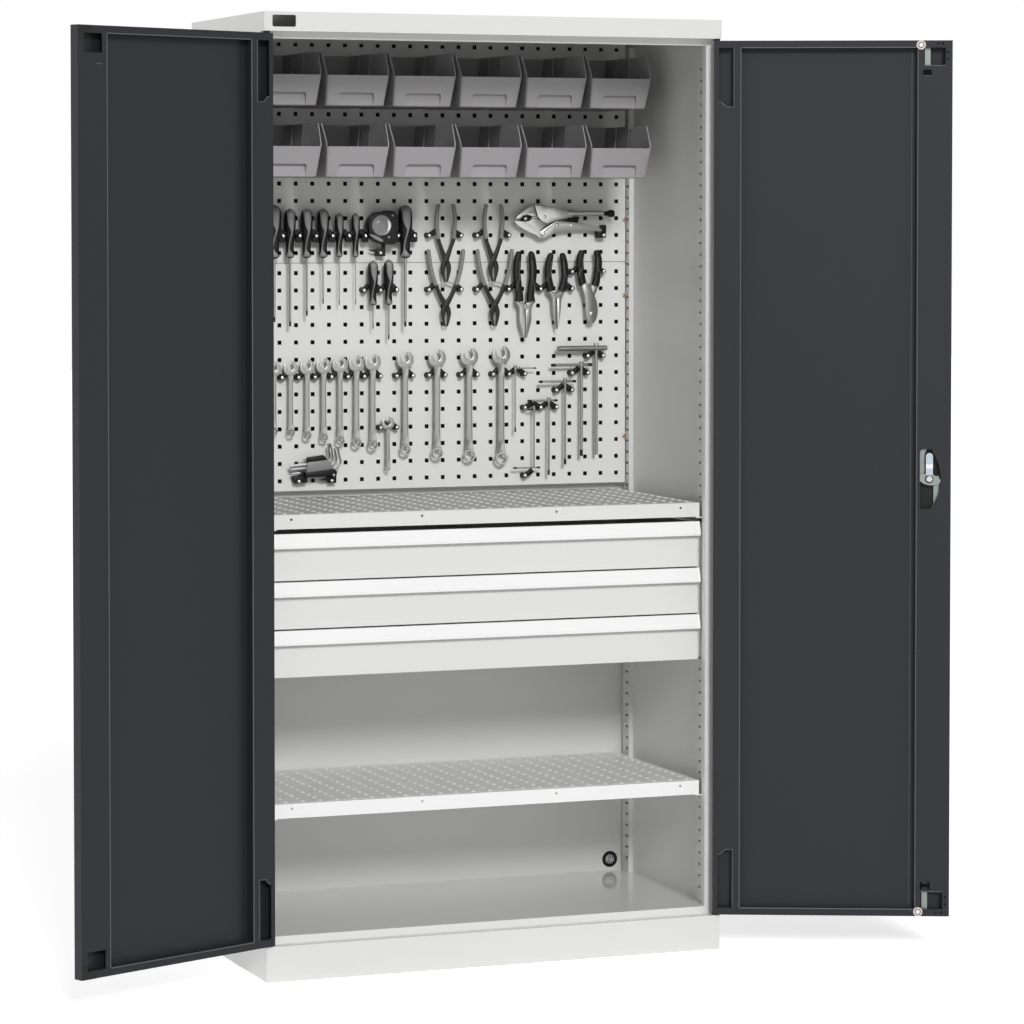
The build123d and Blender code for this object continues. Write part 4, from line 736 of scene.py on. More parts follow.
# Pliers
pliers = dict(
    # kind, place, row, rise of the top, length
    each=(("closedCirclip", 58, 1, 69.5, 172), ("closedCirclip", 171, 1, 69.5, 172),
          ("openCirclip", 58, -2, 89.5, 171), ("openCirclip", 174, -2, 89.5, 172),
          ("combination", 245, -2, 84, 193), ("needleNose", 321, -2, 80, 170),
          ("cutting", 400, -1, 48, 164)),
    # the right lever from the top down: place beside the axis, height as a share of the length, half-width
    closedCirclip=dict(line=((16.5, 1.0, 4.2), (20.0, 0.9, 4.4), (21.5, 0.78, 4.4), (18.0, 0.56, 4.4),
                             (12.0, 0.45, 4.2), (5.0, 0.34, 5.0), (0.0, 0.28, 6.0), (-7.0, 0.19, 5.2),
                             (-6.5, 0.1, 3.4), (-3.0, 0.0, 1.7)), gripEnd=0.54, gripFinish="greyPlastic",
                       steelFinish="blackSteel", gripSwell=0.4),
    openCirclip=dict(line=((41.0, 1.0, 4.2), (39.0, 0.88, 4.4), (33.0, 0.7, 4.4), (24.0, 0.54, 4.4),
                           (13.0, 0.4, 4.6), (2.0, 0.29, 6.0), (-6.0, 0.2, 5.4), (-7.0, 0.12, 3.6),
                           (-3.0, 0.0, 1.7)), gripEnd=0.53, gripFinish="greyPlastic",
                     steelFinish="blackSteel", gripSwell=0.4, spring=(19.0, 93.0)),
    combination=dict(line=((14.0, 1.0, 6.0), (17.5, 0.9, 8.0), (19.5, 0.75, 8.6), (16.0, 0.6, 8.2),
                           (13.5, 0.5, 8.6), (14.0, 0.42, 10.0)), gripEnd=0.42, gripFinish="gripRubber",
                     steelFinish="satinSteel",
                     nose=((24.0, 0.42), (14.5, 0.34), (14.0, 0.2), (9.0, 0.1), (4.0, 0.0))),
    needleNose=dict(line=((13.0, 1.0, 6.0), (18.0, 0.88, 8.0), (20.5, 0.72, 8.0), (17.0, 0.6, 8.2),
                          (13.0, 0.5, 9.5)), gripEnd=0.5, gripFinish="gripRubber", steelFinish="satinSteel",
                    nose=((22.0, 0.5), (11.5, 0.42), (9.0, 0.25), (5.0, 0.1), (1.2, 0.0))),
    cutting=dict(line=((17.0, 1.0, 6.5), (22.5, 0.86, 8.4), (20.0, 0.68, 8.4), (15.0, 0.52, 9.0)),
                 gripEnd=0.52, gripFinish="gripRubber", steelFinish="satinSteel", nose=None,
                 # the blade and the other lever's steel: places beside the axis and above the low end
                 blade=((-19, 84), (-13, 62), (-10, 38), (-9, 20), (-3, 6), (5, 0), (14, 6), (19, 24),
                        (17, 46), (8, 68), (-3, 90)),
                 other=((24, 86), (16, 66), (10, 48), (1, 40), (-2, 52), (5, 70), (8, 88)),
                 rivetPlace=(4, 20)),
    # circlip pliers: the right lever lies a little in front of the left; a pin and the pivot as radius and Y
    thickness=6.0, leverShift=0.8, pin=((0.9, 4.5), (0.9, -3.0)), pinShift=(0.5, 1.0), pivotShare=0.27,
    pivot=((3.0, 5.5), (4.6, 5.0), (4.6, -5.2), (3.6, -6.0)), topEase=(0.55, 0.9), springRise=4.0,
    # the moulded grips: half their depth, and how their width and depth ease in at the top
    gripDepth=6.5, widthEase=(0.45, 0.8, 0.95), depthEase=(0.5, 0.85, 0.97),
    slitHalf=0.35, rivet=((6.2, -12.4), (7.0, -11.6), (7.0, -1.0)),
    cutterRivet=((5.0, -14.4), (6.0, -13.6), (6.0, -2.0)),
)


def leverPath(rows, x, low, length, side, count, y):
    # The lever's middle line and half-widths: a smooth line through the table's rows.
    line = throughPoints(rows, count)
    path = np.column_stack([x + side * line[:, 0], np.full(count, y), low + line[:, 1] * length])
    return path, line[:, 2], line[:, 1]


def makeCirclipPliers(kind, x, low, length, size):
    grips, steel, springs = [], [], []
    back = cabinet["toolBack"]
    centre = back - size["thickness"] / 2
    inwards, upwards = size["pinShift"]
    for side in (-1, 1):
        y = centre - (size["leverShift"] if side > 0 else 0.0)
        path, half, share = leverPath(kind["line"], x, low, length, side, 72, y)
        lower = share <= kind["gripEnd"] + 0.02
        steel.append(swept(path[lower], half[lower] * 1.02, size["thickness"] * 0.5, 12, 3.5))
        upper = share >= kind["gripEnd"]
        swell = half[upper] + kind["gripSwell"]
        swell[:2] *= size["topEase"]
        grips.append(swept(path[upper], swell, swell, 16))
        tip = path[-1]
        steel.append(turned(size["pin"], (tip[0] - side * inwards, y, tip[2] + upwards), "y", 10))
    if kind.get("spring"):
        reach, rise = kind["spring"]
        shares, heights = (-1, -0.5, 0.5, 1), (0, size["springRise"], size["springRise"], 0)
        arc = throughPoints([(x + reach * share, back - 2, low + rise + height)
                             for share, height in zip(shares, heights)], 16)
        springs.append(swept(arc, 1.6, 1.0, 8, 3.0))
    steel.append(turned(size["pivot"], (x, centre, low + length * size["pivotShare"]), "y", 24))
    return grips, steel, springs


def makeGripPair(kind, x, low, length, size):
    # Two moulded grips: bars whose section is a soft rectangle, round at the top and cut off at the bottom.
    grips = []
    y = cabinet["toolBack"] - size["gripDepth"]
    for side in (-1, 1):
        path, half = leverPath(kind["line"], x, low, length, side, 48, y)[:2]
        half = half.copy()
        half[:3] *= size["widthEase"]
        deep = np.full(len(half), size["gripDepth"])
        deep[:3] *= size["depthEase"]
        grips.append(swept(path, half, deep, 20, 2.6))
    return grips


def makeAccents(kind, x, low, length, size):
    # A thin line that crosses each grip's face from its outer edge near the top to its inner edge below.
    lines = []
    y = cabinet["toolBack"] - 2 * size["gripDepth"] + 0.25
    for side in (-1, 1):
        path, half, share = leverPath(kind["line"], x, low, length, side, 48, y)
        part = (share > kind["gripEnd"] + 0.12) & (share < 0.9)
        run = np.linspace(-1, 1, part.sum())
        sway = (0.15 + 0.6 * np.tanh((run - 0.35) * 5)) * half[part] * side
        line = path[part] + np.column_stack([sway, np.abs(sway) * 0.12, np.zeros(part.sum())])
        lines.append(swept(line, 0.55, 0.5, 8))
    return lines


def makeNose(kind, x, low, length, size):
    # Two jaw halves with a fine slit between them, each a
    # plate along the axis with rounded rims, and the rivet.
    right = throughPoints(np.array(kind["nose"]) * np.array([1, length]), 24)
    shapes = []
    back, slit = cabinet["toolBack"], size["slitHalf"]
    for side in (-1, 1):
        outer = np.column_stack([x + side * right[:, 0], low + right[:, 1]])
        inner = np.array([[x + side * slit, low + right[-1, 1]], [x + side * slit, low + right[0, 1] - 4]])
        shapes.append(plateShape(np.concatenate([outer, inner]), back - 1, back - 11, 1.2))
    pivot = low + (kind["nose"][1][1] + 0.02) * length
    shapes.append(turned(size["rivet"], (x, back, pivot), "y", 28))
    return shapes


def makeCutterHead(kind, x, low, size):
    # The cutting pliers' wide blade on the left grip's side,
    # and the short steel of the other lever behind it.
    back = cabinet["toolBack"]
    blade = throughPoints(np.array(kind["blade"]) + np.array([x, low]), 48, closed=True)
    other = throughPoints(np.array(kind["other"]) + np.array([x, low]), 32, closed=True)
    beside, above = kind["rivetPlace"]
    return [plateShape(blade, back - 6, back - 13, 1.2), plateShape(other, back, back - 6, 1.0),
            turned(size["cutterRivet"], (x + beside, back, low + above), "y", 28)]


def placePliers(size):
    byFinish = {}
    accents = []
    for name, x, row, rise, length in size["each"]:
        kind = size[name]
        low = rowLevel(row) + rise - length
        if name.endswith("Circlip"):
            grips, steel, springs = makeCirclipPliers(kind, x, low, length, size)
            byFinish.setdefault("satinSteel", []).extend(springs)
        else:
            grips = makeGripPair(kind, x, low, length, size)
            accents += makeAccents(kind, x, low, length, size)
            if kind["nose"]:
                steel = makeNose(kind, x, low, length, size)
            else:
                steel = makeCutterHead(kind, x, low, size)
        byFinish.setdefault(kind["gripFinish"], []).extend(grips)
        byFinish.setdefault(kind["steelFinish"], []).extend(steel)
    names = dict(greyPlastic="circlipGrips", blackSteel="circlipSteel", gripRubber="plierGrips",
                 satinSteel="plierNoses")
    for finish, shapes in byFinish.items():
        addPiece(names[finish], joined(shapes), finish, stands=("pliers",))
    addPiece("plierAccents", joined(accents), "greyPlastic")


placePliers(pliers)
print("pliers made")

# Tool holders
holders = dict(
    # for each Y of the posts' front ends, by holder: the middle of its columns of holes, its row, how far its
    # posts stand to both sides and half the tool's width there
    pairs={
        203.0: ((-342, 1, 19, 12), (-304, 1, 19, 10), (-266, 1, 19, 10), (-228, 1, 19, 10),
                (-190, 1, 19, 7), (-152, 1, 19, 7), (-38, 1, 19, 12)),
        213.5: ((-114, -2, 19, 9), (-76, -2, 19, 9), (-342, -7, 19, 5), (-304, -7, 19, 5),
                (-266, -7, 19, 5), (-228, -7, 19, 6), (-190, -7, 19, 6), (-152, -7, 19, 6),
                (-114, -7, 19, 6), (-38, -7, 19, 7), (38, -7, 19, 7), (114, -7, 19, 7), (190, -7, 19, 8),
                (-76, -10, 19, 5), (57, 1, 38, 20), (171, 1, 38, 20), (57, -2, 38, 27), (171, -2, 38, 27),
                (247, -2, 38, 24), (323, -2, 38, 24), (399, -1, 38, 22), (418, -6, 19, 4), (380, -7, 19, 4),
                (342, -8, 19, 3), (304, -9, 19, 3), (266, -9, 19, 2), (228, -7, 19, 4))},
    # columns and rows of single posts; the column, row and reach of the one of them that has an arm
    singles=((247, -13), (247, 2), (437, 1), (-95, 0), (-285, -13), (-209, -13)), loneArm=(247, -13, 18.0),
    front=213.5, postHalf=5.6, armHalf=(5.6, 6.0), armDeep=4.5, armRise=11.0,
    plateReach=5.0, plateHalf=6.5, plateDepth=3.0,
    # a tall holder's black cheek: half its width, and how far it goes below and above the post
    cheek=(7.5, 15.0, 8.0),
    # a post's bright head: radius and how far in front of the post's end
    dome=((4.6, -0.2), (4.6, 0.8), (3.772, 2.0), (2.07, 2.8), (0.1, 3.1)),
)


def makeHolderArm(size, x, front, z, side, reach):
    # From a post inwards and up to the tool's side, a little wider towards its end.
    # (a share of the reach, how far behind the posts' front ends, a share of the rise)
    places = ((0.0, 5.0, 0.0), (0.5, 5.0, 0.45), (1.0, 6.0, 1.0))
    path = throughPoints([(x - side * reach * across, front + depth, z + size["armRise"] * up)
                          for across, depth, up in places], 9)
    return swept(path, np.linspace(*size["armHalf"], 9), size["armDeep"], 12, 3.0)


def makePost(size, depth):
    # A black post from the panel forwards with a round bright head.
    half = size["postHalf"]
    post = turned(((half + 1, -0.1), (half, -3.0), (half, -depth + 1.0), (half - 1.0, -depth)), (0, 0, 0),
                  "y", 16)
    head = turned([(radius, -depth - forwards) for radius, forwards in size["dome"]], (0, 0, 0), "y", 16)
    return post, head


def placeHolders(size):
    black, heads = [], []
    back = cabinet["panelFront"]
    for front, pairs in size["pairs"].items():
        places = set()
        for middle, row, half, toolHalf in pairs:
            z = rowLevel(row)
            reachX, reachZ = half + size["plateReach"], size["plateHalf"]
            if front != size["front"]:
                box = (middle - reachX, middle + reachX, z - reachZ, z + reachZ)
                black.append(boxPlate(box, 4.0, back - 0.05, back - size["plateDepth"], 0.5))
            for side in (-1, 1):
                places.add((middle + side * half, back, z))
                black.append(makeHolderArm(size, middle + side * half, front, z, side, half - toolHalf + 1))
        if front == size["front"]:
            column, row, reach = size["loneArm"]
            black.append(makeHolderArm(size, column, front, rowLevel(row), -1, reach))
            places |= {(column, back, rowLevel(row)) for column, row in size["singles"]}
        else:
            width, below, above = size["cheek"]
            cheek = boxPlate((-width, width, -below, above), 5.0, front + 14 - back, front + 3 - back, 1.0)
            black.append(copies(cheek, sorted(places)))
        post, head = makePost(size, back - front)
        black.append(copies(post, sorted(places)))
        heads.append(copies(head, sorted(places)))
    addPiece("toolHolders", joined(black), "hookBlack", stands=("tool_hooks",))
    addPiece("holderHeads", joined(heads), "chrome", stands=("tool_hooks",))


placeHolders(holders)
print("holders made")

# Tape measure
tape = dict(
    middle=(-98.5, 1555.3), back=218.0, front=188.0, disc=(-102.0, 1560.5), discRadius=22.5,
    outline=((-33, 5), (-28, 22), (-14, 33), (4, 35), (12, 37.5), (24, 37), (32, 30), (34, 18), (33, -8),
             (33, -28), (28, -36), (10, -37), (0, -35), (-16, -30), (-29, -17)),
    band=((-129, 1540), (-118, 1539.5), (-108, 1535), (-98, 1527), (-103, 1524.5), (-113, 1528.5),
          (-123, 1534)),
    screws=((-76.0, 1582.3), (-85.0, 1534.6)),
    upright=(-93.5, -85.0, 1492.0, 1523.0), block=(-103.0, -85.5, 1492.5, 1507.5),
    bar=((-121.0, 1506.0), (-100.0, 1502.5)),
    # The disc's light edge is a painted highlight: a thin white bar standing in for a glint.
    glint=(18.0, 3.4, (-42, 38)),             # the disc's light edge: its radius, half-width and angles
)


def makeTape(size):
    outline = throughPoints(np.array(size["outline"]) + np.array(size["middle"]), 72, closed=True)
    case = plateShape(outline, size["back"], size["front"], 2.5)
    discX, discZ = size["disc"]
    r, y = size["discRadius"], size["front"]
    collar = turned(((r + 4.0, y + 1.0), (r + 3.4, y - 1.6), (r + 0.6, y - 1.8), (r + 0.2, y + 0.5)),
                    (discX, 0, discZ), "y", 56)
    disc = turned(((r, y), (r, y - 1.4), (r - 1.0, y - 2.0), (r - 3.5, y - 1.0), (r * 0.55, y - 1.2),
                   (r * 0.5, y - 2.0), (r * 0.3, y - 2.2), (0.1, y - 2.2)), (discX, 0, discZ), "y", 56)
    band = plateShape(throughPoints(size["band"], 40, closed=True), y + 1, y - 0.8, 0.5)
    recesses = [turned(((4.2, y + 1.0), (4.0, y - 0.4), (2.9, y - 0.5)), (x, 0, z), "y", 20)
                for x, z in size["screws"]]
    screws = [turned(((2.8, y + 0.5), (2.6, y - 0.9), (1.6, y - 1.3), (0.1, y - 1.4)), (x, 0, z), "y", 20)
              for x, z in size["screws"]]
    clipFront = holders["front"]
    upright = boxPlate(size["upright"], 2.0, clipFront + 3, clipFront - 2, 0.6)
    block = boxPlate(size["block"], 2.0, cabinet["panelFront"], clipFront, 0.6)
    line = straightLine(*size["bar"], (clipFront + 4, clipFront + 3, clipFront + 2))
    strip = swept(line, (1.2, 2.4, 3.4), (1.2, 2.4, 3.0), 12)
    black = [case, collar] + recesses + [upright, block, strip]
    addPiece("tapeCase", joined(black), "gripRubber", stands=("tape_measure",))
    # The glint: a white bar on the disc's face, a painted highlight.
    reach, wide, ends = size["glint"]
    arc = np.radians(np.linspace(*ends, 13))
    line = np.column_stack([discX + reach * np.cos(arc), np.full(13, y - 1.6), discZ + reach * np.sin(arc)])
    glint = swept(line, wide * np.sin(np.linspace(0.25, np.pi - 0.25, 13)), 0.7, 10, facing=(0, 1, 0))
    addPiece("tapeDisc", joined([disc] + screws), "greyPlastic", stands=("tape_measure",))
    addPiece("tapeDiscPaintedGlint", glint, "gripWhite")
    addPiece("tapeBand", band, "greyPlastic")


makeTape(tape)
print("tape measure made")

# Locking pliers
lockingPliers = dict(
    back=218.0, front=208.0,
    jaw=((219.5, 1573.6), (225, 1580), (236, 1590), (250, 1599.5), (265.6, 1606), (269, 1592),
         (273.5, 1578.5), (263, 1577.6), (258, 1582), (248, 1584), (239, 1580.5), (233, 1574.5)),
    body=((267.0, 1605.5), (290, 1604), (316, 1600.5), (338, 1596), (352, 1590.5), (358, 1586), (357, 1578),
          (340, 1575.5), (319, 1571), (297, 1563.8), (284, 1570), (275, 1578)),
    lower=((219.5, 1572.4), (221, 1566), (229, 1559), (241, 1551.5), (255, 1544.5), (268, 1540),
           (277, 1534), (284, 1530.5), (290, 1535), (281, 1547), (296, 1563), (284, 1570), (273, 1576),
           (262, 1576.4), (254, 1570), (243, 1569)),
    lever=((284, 1531.5), (277.5, 1543), (297, 1556), (319, 1569.5), (345, 1568.5), (372, 1566),
           (400, 1561.5), (424.5, 1555), (432, 1548), (424, 1545.5), (400, 1549.5), (372, 1550.5),
           (345, 1548), (330, 1546), (314, 1541), (296, 1532)),
    leverRidge=((282, 1541.5), (300, 1554), (320, 1565.5), (345, 1565), (372, 1562.5), (400, 1558),
                (420, 1552.5)),
    slit=((258, 1577.0), (265, 1577.4), (271.6, 1577.0)), eyePost=(244.5, 1575.8, 4.2),
    gap=((298, 1560), (320, 1568), (345, 1572.5), (366, 1579), (378, 1580), (374, 1566), (345, 1567),
         (320, 1566)),
    eye=((236, 1575.5), (241, 1580.5), (249, 1582.5), (257, 1580.5), (263, 1577.8), (263, 1575.8),
         (256, 1571.5), (248, 1569.5), (240, 1571)),
    tube=((352, 1586.5), (380, 1587.2), (410, 1587.2), (434, 1586.6)), tubeRadius=6.0,
    rivets=((290.4, 1579.4, 3.4), (321.0, 1560.2, 3.4), (354.5, 1559.8, 3.2), (287.6, 1541.5, 3.2)),
    endBlock=(421.5, 442.0, 1531.5, 1546.0), endUpright=(430.0, 441.5, 1544.0, 1561.0),
    # radius and place along the tube
    ferrule=((8.2, 350.0), (8.4, 352.0), (8.2, 360.0), (6.6, 362.0)), ferruleLevel=1586.6,
    knob=((4.6, 432.0), (4.6, 441.0), (5.8, 442.0), (5.8, 447.0), (7.6, 448.5), (8.2, 450.0), (8.2, 458.0),
          (7.4, 460.0)), knobLevel=1586.4,
)


def makeLockingPliers(size):
    back, front = size["back"], size["front"]
    middle = (back + front) / 2
    plates = [plateShape(size["jaw"], back - 1, front, 1.4), plateShape(size["body"], back, front - 1.4, 1.6),
              plateShape(size["lower"], back - 1, front + 0.6, 1.4),
              plateShape(size["lever"], back - 1, front + 2.0, 1.2)]
    ridge = throughPoints(atDepth(size["leverRidge"], front + 1.4), 40)
    plates.append(swept(ridge, 2.2, 1.4, 12, 2.5))
    tube = throughPoints(atDepth(size["tube"], middle), 12)
    plates.append(swept(tube, size["tubeRadius"], size["tubeRadius"], 24))
    plates.append(turned(size["ferrule"], (0, middle, size["ferruleLevel"]), "x", 28))
    addPiece("lockingPliersSteel", joined(plates), "brightSteel", stands=("locking_pliers",), angle=30)
    rivets = [turned(((r, front + 1.0), (r, front - 2.0), (r * 0.7, front - 2.9), (0.1, front - 3.2)),
                     (x, 0, z), "y", 20) for x, z, r in size["rivets"]]
    x, z, r = size["eyePost"]
    rivets.append(turned(((r, front - 2.5), (r, front - 3.5), (r * 0.6, front - 5.0), (0.1, front - 5.4)),
                         (x, 0, z), "y", 20))
    rivets.append(swept(atDepth(size["slit"], front - 3.0), (1.0, 1.6, 1.4), 0.8, 10))
    addPiece("lockingPliersRivets", joined(rivets), "chrome")
    knob = turned(size["knob"], (0, middle, size["knobLevel"]), "x", 24)
    panel, holder = cabinet["panelFront"], holders["front"]
    end = boxPlate(size["endBlock"], 2.0, panel, holder, 0.8)
    upright = boxPlate(size["endUpright"], 2.5, panel - 8, holder - 3, 0.8)
    # The eye between the jaws and the gap between the lever and the body are black plates: painted shade of
    # those openings.
    eye = plateShape(throughPoints(size["eye"], 36, closed=True), back, front + 3.0, 0.5)
    gap = plateShape(size["gap"], back, back - 3, 0.4)
    addPiece("lockingPliersBlack", joined([knob, end, upright, eye, gap]), "hookBlack")


makeLockingPliers(lockingPliers)
print("locking pliers made")

# Cross-bar keys
barKeys = dict(
    # the bar's place, top and bottom, its radius, its dark tip's length, the cross
    # bar's level, its ends, its radius, its dark ends' length and its finish
    each=((417.2, 1294.5, 1043.0, 3.6, 0, 1283.5, 322.0, 443.5, 6.2, 0, "satinSteel"),
          (381.2, 1253.5, 1040.8, 3.2, 14, 1246.5, 307.5, 406.5, 3.4, 11, "satinSteel"),
          (341.8, 1215.5, 1022.5, 2.6, 12, 1209.8, 278.3, 367.8, 2.8, 9, "chrome"),
          (302.2, 1172.5, 1000.0, 2.3, 11, 1167.5, 250.8, 323.3, 2.4, 10, "satinSteel"),
          (266.6, 1152.0, 1019.5, 1.8, 0, 1148.0, 252.0, 279.0, 1.8, 0, "blackSteel"),
          (221.6, 1242.8, 1098.0, 1.7, 10, 1240.8, 213.5, 272.0, 1.5, 7, "satinSteel")),
    # the bar low down: its ends, level and radius, and its dark ends' length
    lowBar=(216.5, 281.5, 1017.6, 2.2, 9.0), axisY=211.0,
    # shares of a bar's radius, or of a dark end's length for endCover
    crossForwards=0.3, tipSwell=1.12, endSwell=1.08, endCover=0.9, lowCore=0.8,
)


def roundBar(start, end, radius):
    # A round bar whose two ends are slightly rounded off.
    start, end = np.array(start, float), np.array(end, float)
    along = (end - start) / np.linalg.norm(end - start)
    path = np.array([start, start + along * radius * 0.4, (start + end) / 2, end - along * radius * 0.4, end])
    radii = np.array([0.6, 1, 1, 1, 0.6]) * radius
    return swept(path, radii, radii, 14)


def makeBarKeys(size):
    byFinish = dict(satinSteel=[], chrome=[], blackSteel=[])
    steel, dark = byFinish["satinSteel"], byFinish["blackSteel"]
    y = size["axisY"]

    def addEnds(left, right, crossY, level, length, radius):
        for end, inner in ((left, left + length), (right, right - length)):
            dark.append(roundBar((end, crossY, level), (inner, crossY, level), radius))

    for x, top, bottom, radius, tip, level, left, right, crossRadius, darkEnd, finish in size["each"]:
        collar = ((radius + 1.6, level - 5), (radius + 2.0, level - 4), (radius + 2.0, level + 7),
                  (radius + 1.4, top))
        steel.append(roundBar((x, y, top), (x, y, bottom + tip), radius))
        steel.append(turned(collar, (x, y, 0), "z", 18))
        if tip:
            dark.append(roundBar((x, y, bottom + tip + 1), (x, y, bottom), radius * size["tipSwell"]))
        crossY, hidden = y - radius * size["crossForwards"], darkEnd * size["endCover"]
        byFinish[finish].append(roundBar((left + hidden, crossY, level), (right - hidden, crossY, level),
                                         crossRadius))
        if darkEnd:
            addEnds(left, right, crossY, level, darkEnd, crossRadius * size["endSwell"])
    left, right, level, radius, darkEnd = size["lowBar"]
    steel.append(roundBar((left, y, level), (right, y, level), radius * size["lowCore"]))
    addEnds(left, right, y, level, darkEnd, radius)
    names = dict(satinSteel="barKeySteel", chrome="barKeyChrome", blackSteel="barKeyTips")
    for finish, shapes in byFinish.items():
        addPiece(names[finish], joined(shapes), finish, stands=("cross_bar_keys",))


makeBarKeys(barKeys)
print("cross-bar keys made")

# Hex-key set
hexKeys = dict(
    back=218.0,
    plate=((-268.0, 1042.5), (-222.5, 1047.5), (-214.5, 1038.5), (-208.0, 1025.5), (-270.0, 1017.5)),
    upper=((-268.5, 1052.8), (-231.5, 1057.0), (-222.0, 1047.5), (-268.5, 1042.0)),
    strap=((-274.0, 1019.5), (-207.0, 1026.5), (-200.8, 1020.0), (-203.0, 1010.0), (-218.5, 1010.0),
           (-272.0, 1009.0)),
    leftBlocks=((-296.5, -266.0, 996.5, 1011.5), (-282.5, -271.5, 1009.0, 1022.0)),
    rightBlocks=((-216.5, -198.5, 994.8, 1012.0), (-215.0, -201.0, 1008.0, 1020.5)),
    rightBar=((-236.0, 1002.0), (-214.0, 1004.5)),
    smallDome=(-209.3, 1013.4, 3.2),
    # keys that stick out of the holder to the left: start, end and half-width
    leftEnds=(((-307.5, 1033.5), (-266.0, 1037.0), 4.3), ((-303.0, 1026.5), (-266.0, 1028.5), 2.6),
              ((-302.5, 1016.5), (-284.0, 1018.5), 3.2), ((-277.5, 1049.0), (-266.0, 1050.5), 2.4)),
    # the bent keys on the right: points from the top down, half-width and Y
    bent=(((-218.0, 1081.0), (-217.5, 1068.0), (-217.0, 1054.0), (-223.0, 1045.0), 2.8, 211.0),
          ((-213.5, 1078.0), (-211.0, 1063.0), (-210.5, 1050.0), (-218.5, 1040.0), 2.0, 208.0),
          ((-207.0, 1071.5), (-203.5, 1057.0), (-203.0, 1044.5), (-213.0, 1034.5), 2.4, 205.0),
          ((-200.0, 1071.0), (-196.0, 1054.0), (-193.8, 1039.0), (-208.0, 1026.5), 2.6, 202.0)),
)


def makeHexKeys(size):
    back = size["back"]
    plate = plateShape(size["plate"], back - 2, back - 14, 0.8)
    black = [plateShape(size["upper"], back - 1, back - 16, 1.0),
             plateShape(size["strap"], back - 1, back - 17, 1.0)]
    for box in size["leftBlocks"] + size["rightBlocks"]:
        black.append(boxPlate(box, 2.5, cabinet["panelFront"], holders["front"], 0.8))
    black.append(swept(straightLine(*size["rightBar"], back - 3), (0.8, 2.6, 4.2), (1.0, 2.5, 3.0), 12))
    steel = [swept(throughPoints(straightLine(start, end, back - 8), 7), r, r, 6)
             for start, end, r in size["leftEnds"]]
    steel += [swept(throughPoints(atDepth(points, y), 28), r, r, 6) for *points, r, y in size["bent"]]
    x, z, r = size["smallDome"]
    steel.append(turned(((r, back - 16.5), (r, back - 18.0), (r * 0.6, back - 19.0), (0.1, back - 19.3)),
                        (x, 0, z), "y", 16))
    addPiece("hexKeyPlate", plate, "greyPlastic", stands=("hex_key_set",))
    addPiece("hexKeyHolder", joined(black), "hookBlack", stands=("hex_key_set",))
    addPiece("hexKeySteel", joined(steel), "chrome", stands=("hex_key_set",), angle=25)


makeHexKeys(hexKeys)
print("hex keys made")

# Doors' inner faces: fold lines lit by a painted highlight, punched holes and slots in painted shade.
# Places on a door are (u, height), u from the hinge edge.
doorFace = dict(
    face=22.0, hingeStile=58.0, lockStile=434.0, railBottom=91.5, railTop=1940.0, beadRadius=1.3,
    beadShift=0.6,
    # the recess beside each rail: u and the distance from the rail's fold
    well=((42.5, 0), (42.5, 126), (26.5, 126), (15.5, 115), (10.5, 115)),
    window=(447.0, 493.0, 38.0), lipRadius=0.9, mark=0.25,
    slotLip=((446.5, 1880.4), (462.5, 1880.4)), slotLipRadius=0.8,
    topSlot=((445.5, 463.5, 1881.0, 1893.0),),
    bottomSlot=((445.0, 450.0, 134.0, 150.0), (461.5, 466.5, 134.0, 150.0), (449.5, 462.0, 139.0, 146.0)),
    holes=((477.6, 1948.7), (487.2, 1948.7), (497.4, 1930.5), (497.4, 1915.7), (499.0, 117.8),
           (499.0, 102.2), (479.0, 84.4), (490.5, 84.4)), holeHalf=2.0,
    sheet=1.3, innerFold=423.0,
)


def onDoor(shape, side):
    # Points given on a closed door, (distance from its hinge
    # edge, depth from its outer face, height), turned open.
    u, depth, z = shape[0].T
    x, y = door["edgeX"] - u - door["pivotX"], cabinet["front"] + depth - door["pivotY"]
    turn = math.radians(door["rightOpen"] if side > 0 else door["leftOpen"])
    cos, sin = math.cos(turn), math.sin(turn)
    points = np.column_stack([side * (door["pivotX"] + cos * x - sin * y),
                              door["pivotY"] + sin * x + cos * y, z])
    return points, shape[1]


def bead(start, end, depth, radius):
    # A rounded fold: a slim round bar along an edge of the door's inner face, almost sunk into it.
    return swept(straightLine(start, end, depth - radius * 0.55), radius, radius, 10, facing=(0, 1, 0))


# The folds' beads take a grey lighter than the door's paint: a painted highlight where the folds catch the
# light.
def makeDoorFolds(size, side):
    face, radius, shift = size["face"], size["beadRadius"], size["beadShift"]
    near, far, low, high = size["hingeStile"], size["lockStile"], size["railBottom"], size["railTop"]
    frame = (((near - shift, low), (near - shift, high)), ((far + shift, low), (far + shift, high)),
             ((near, low - shift), (far, low - shift)), ((near, high + shift), (far, high + shift)))
    beads = [bead(start, end, face, radius) for start, end in frame]
    lip, fold = size["lipRadius"], size["innerFold"]
    beads.append(bead((fold, low + 2), (fold, high - 2), size["sheet"] + 0.8, lip))
    beads.append(bead(*size["slotLip"], face + 0.1, size["slotLipRadius"]))
    for rail, direction in ((high, -1), (low, 1)):
        corners = [(u, rail + direction * away) for u, away in size["well"]]
        beads += [bead(start, end, face + 0.2, lip) for start, end in zip(corners[:-1], corners[1:])]
    u0, u1, height = size["window"]
    if side > 0:
        beads += [bead((u0, high - height), (u1, high - height), face + 0.3, lip),
                  bead((u0, low + height), (u1, low + height), face + 0.1, lip)]
    return onDoor(joined(beads), side)


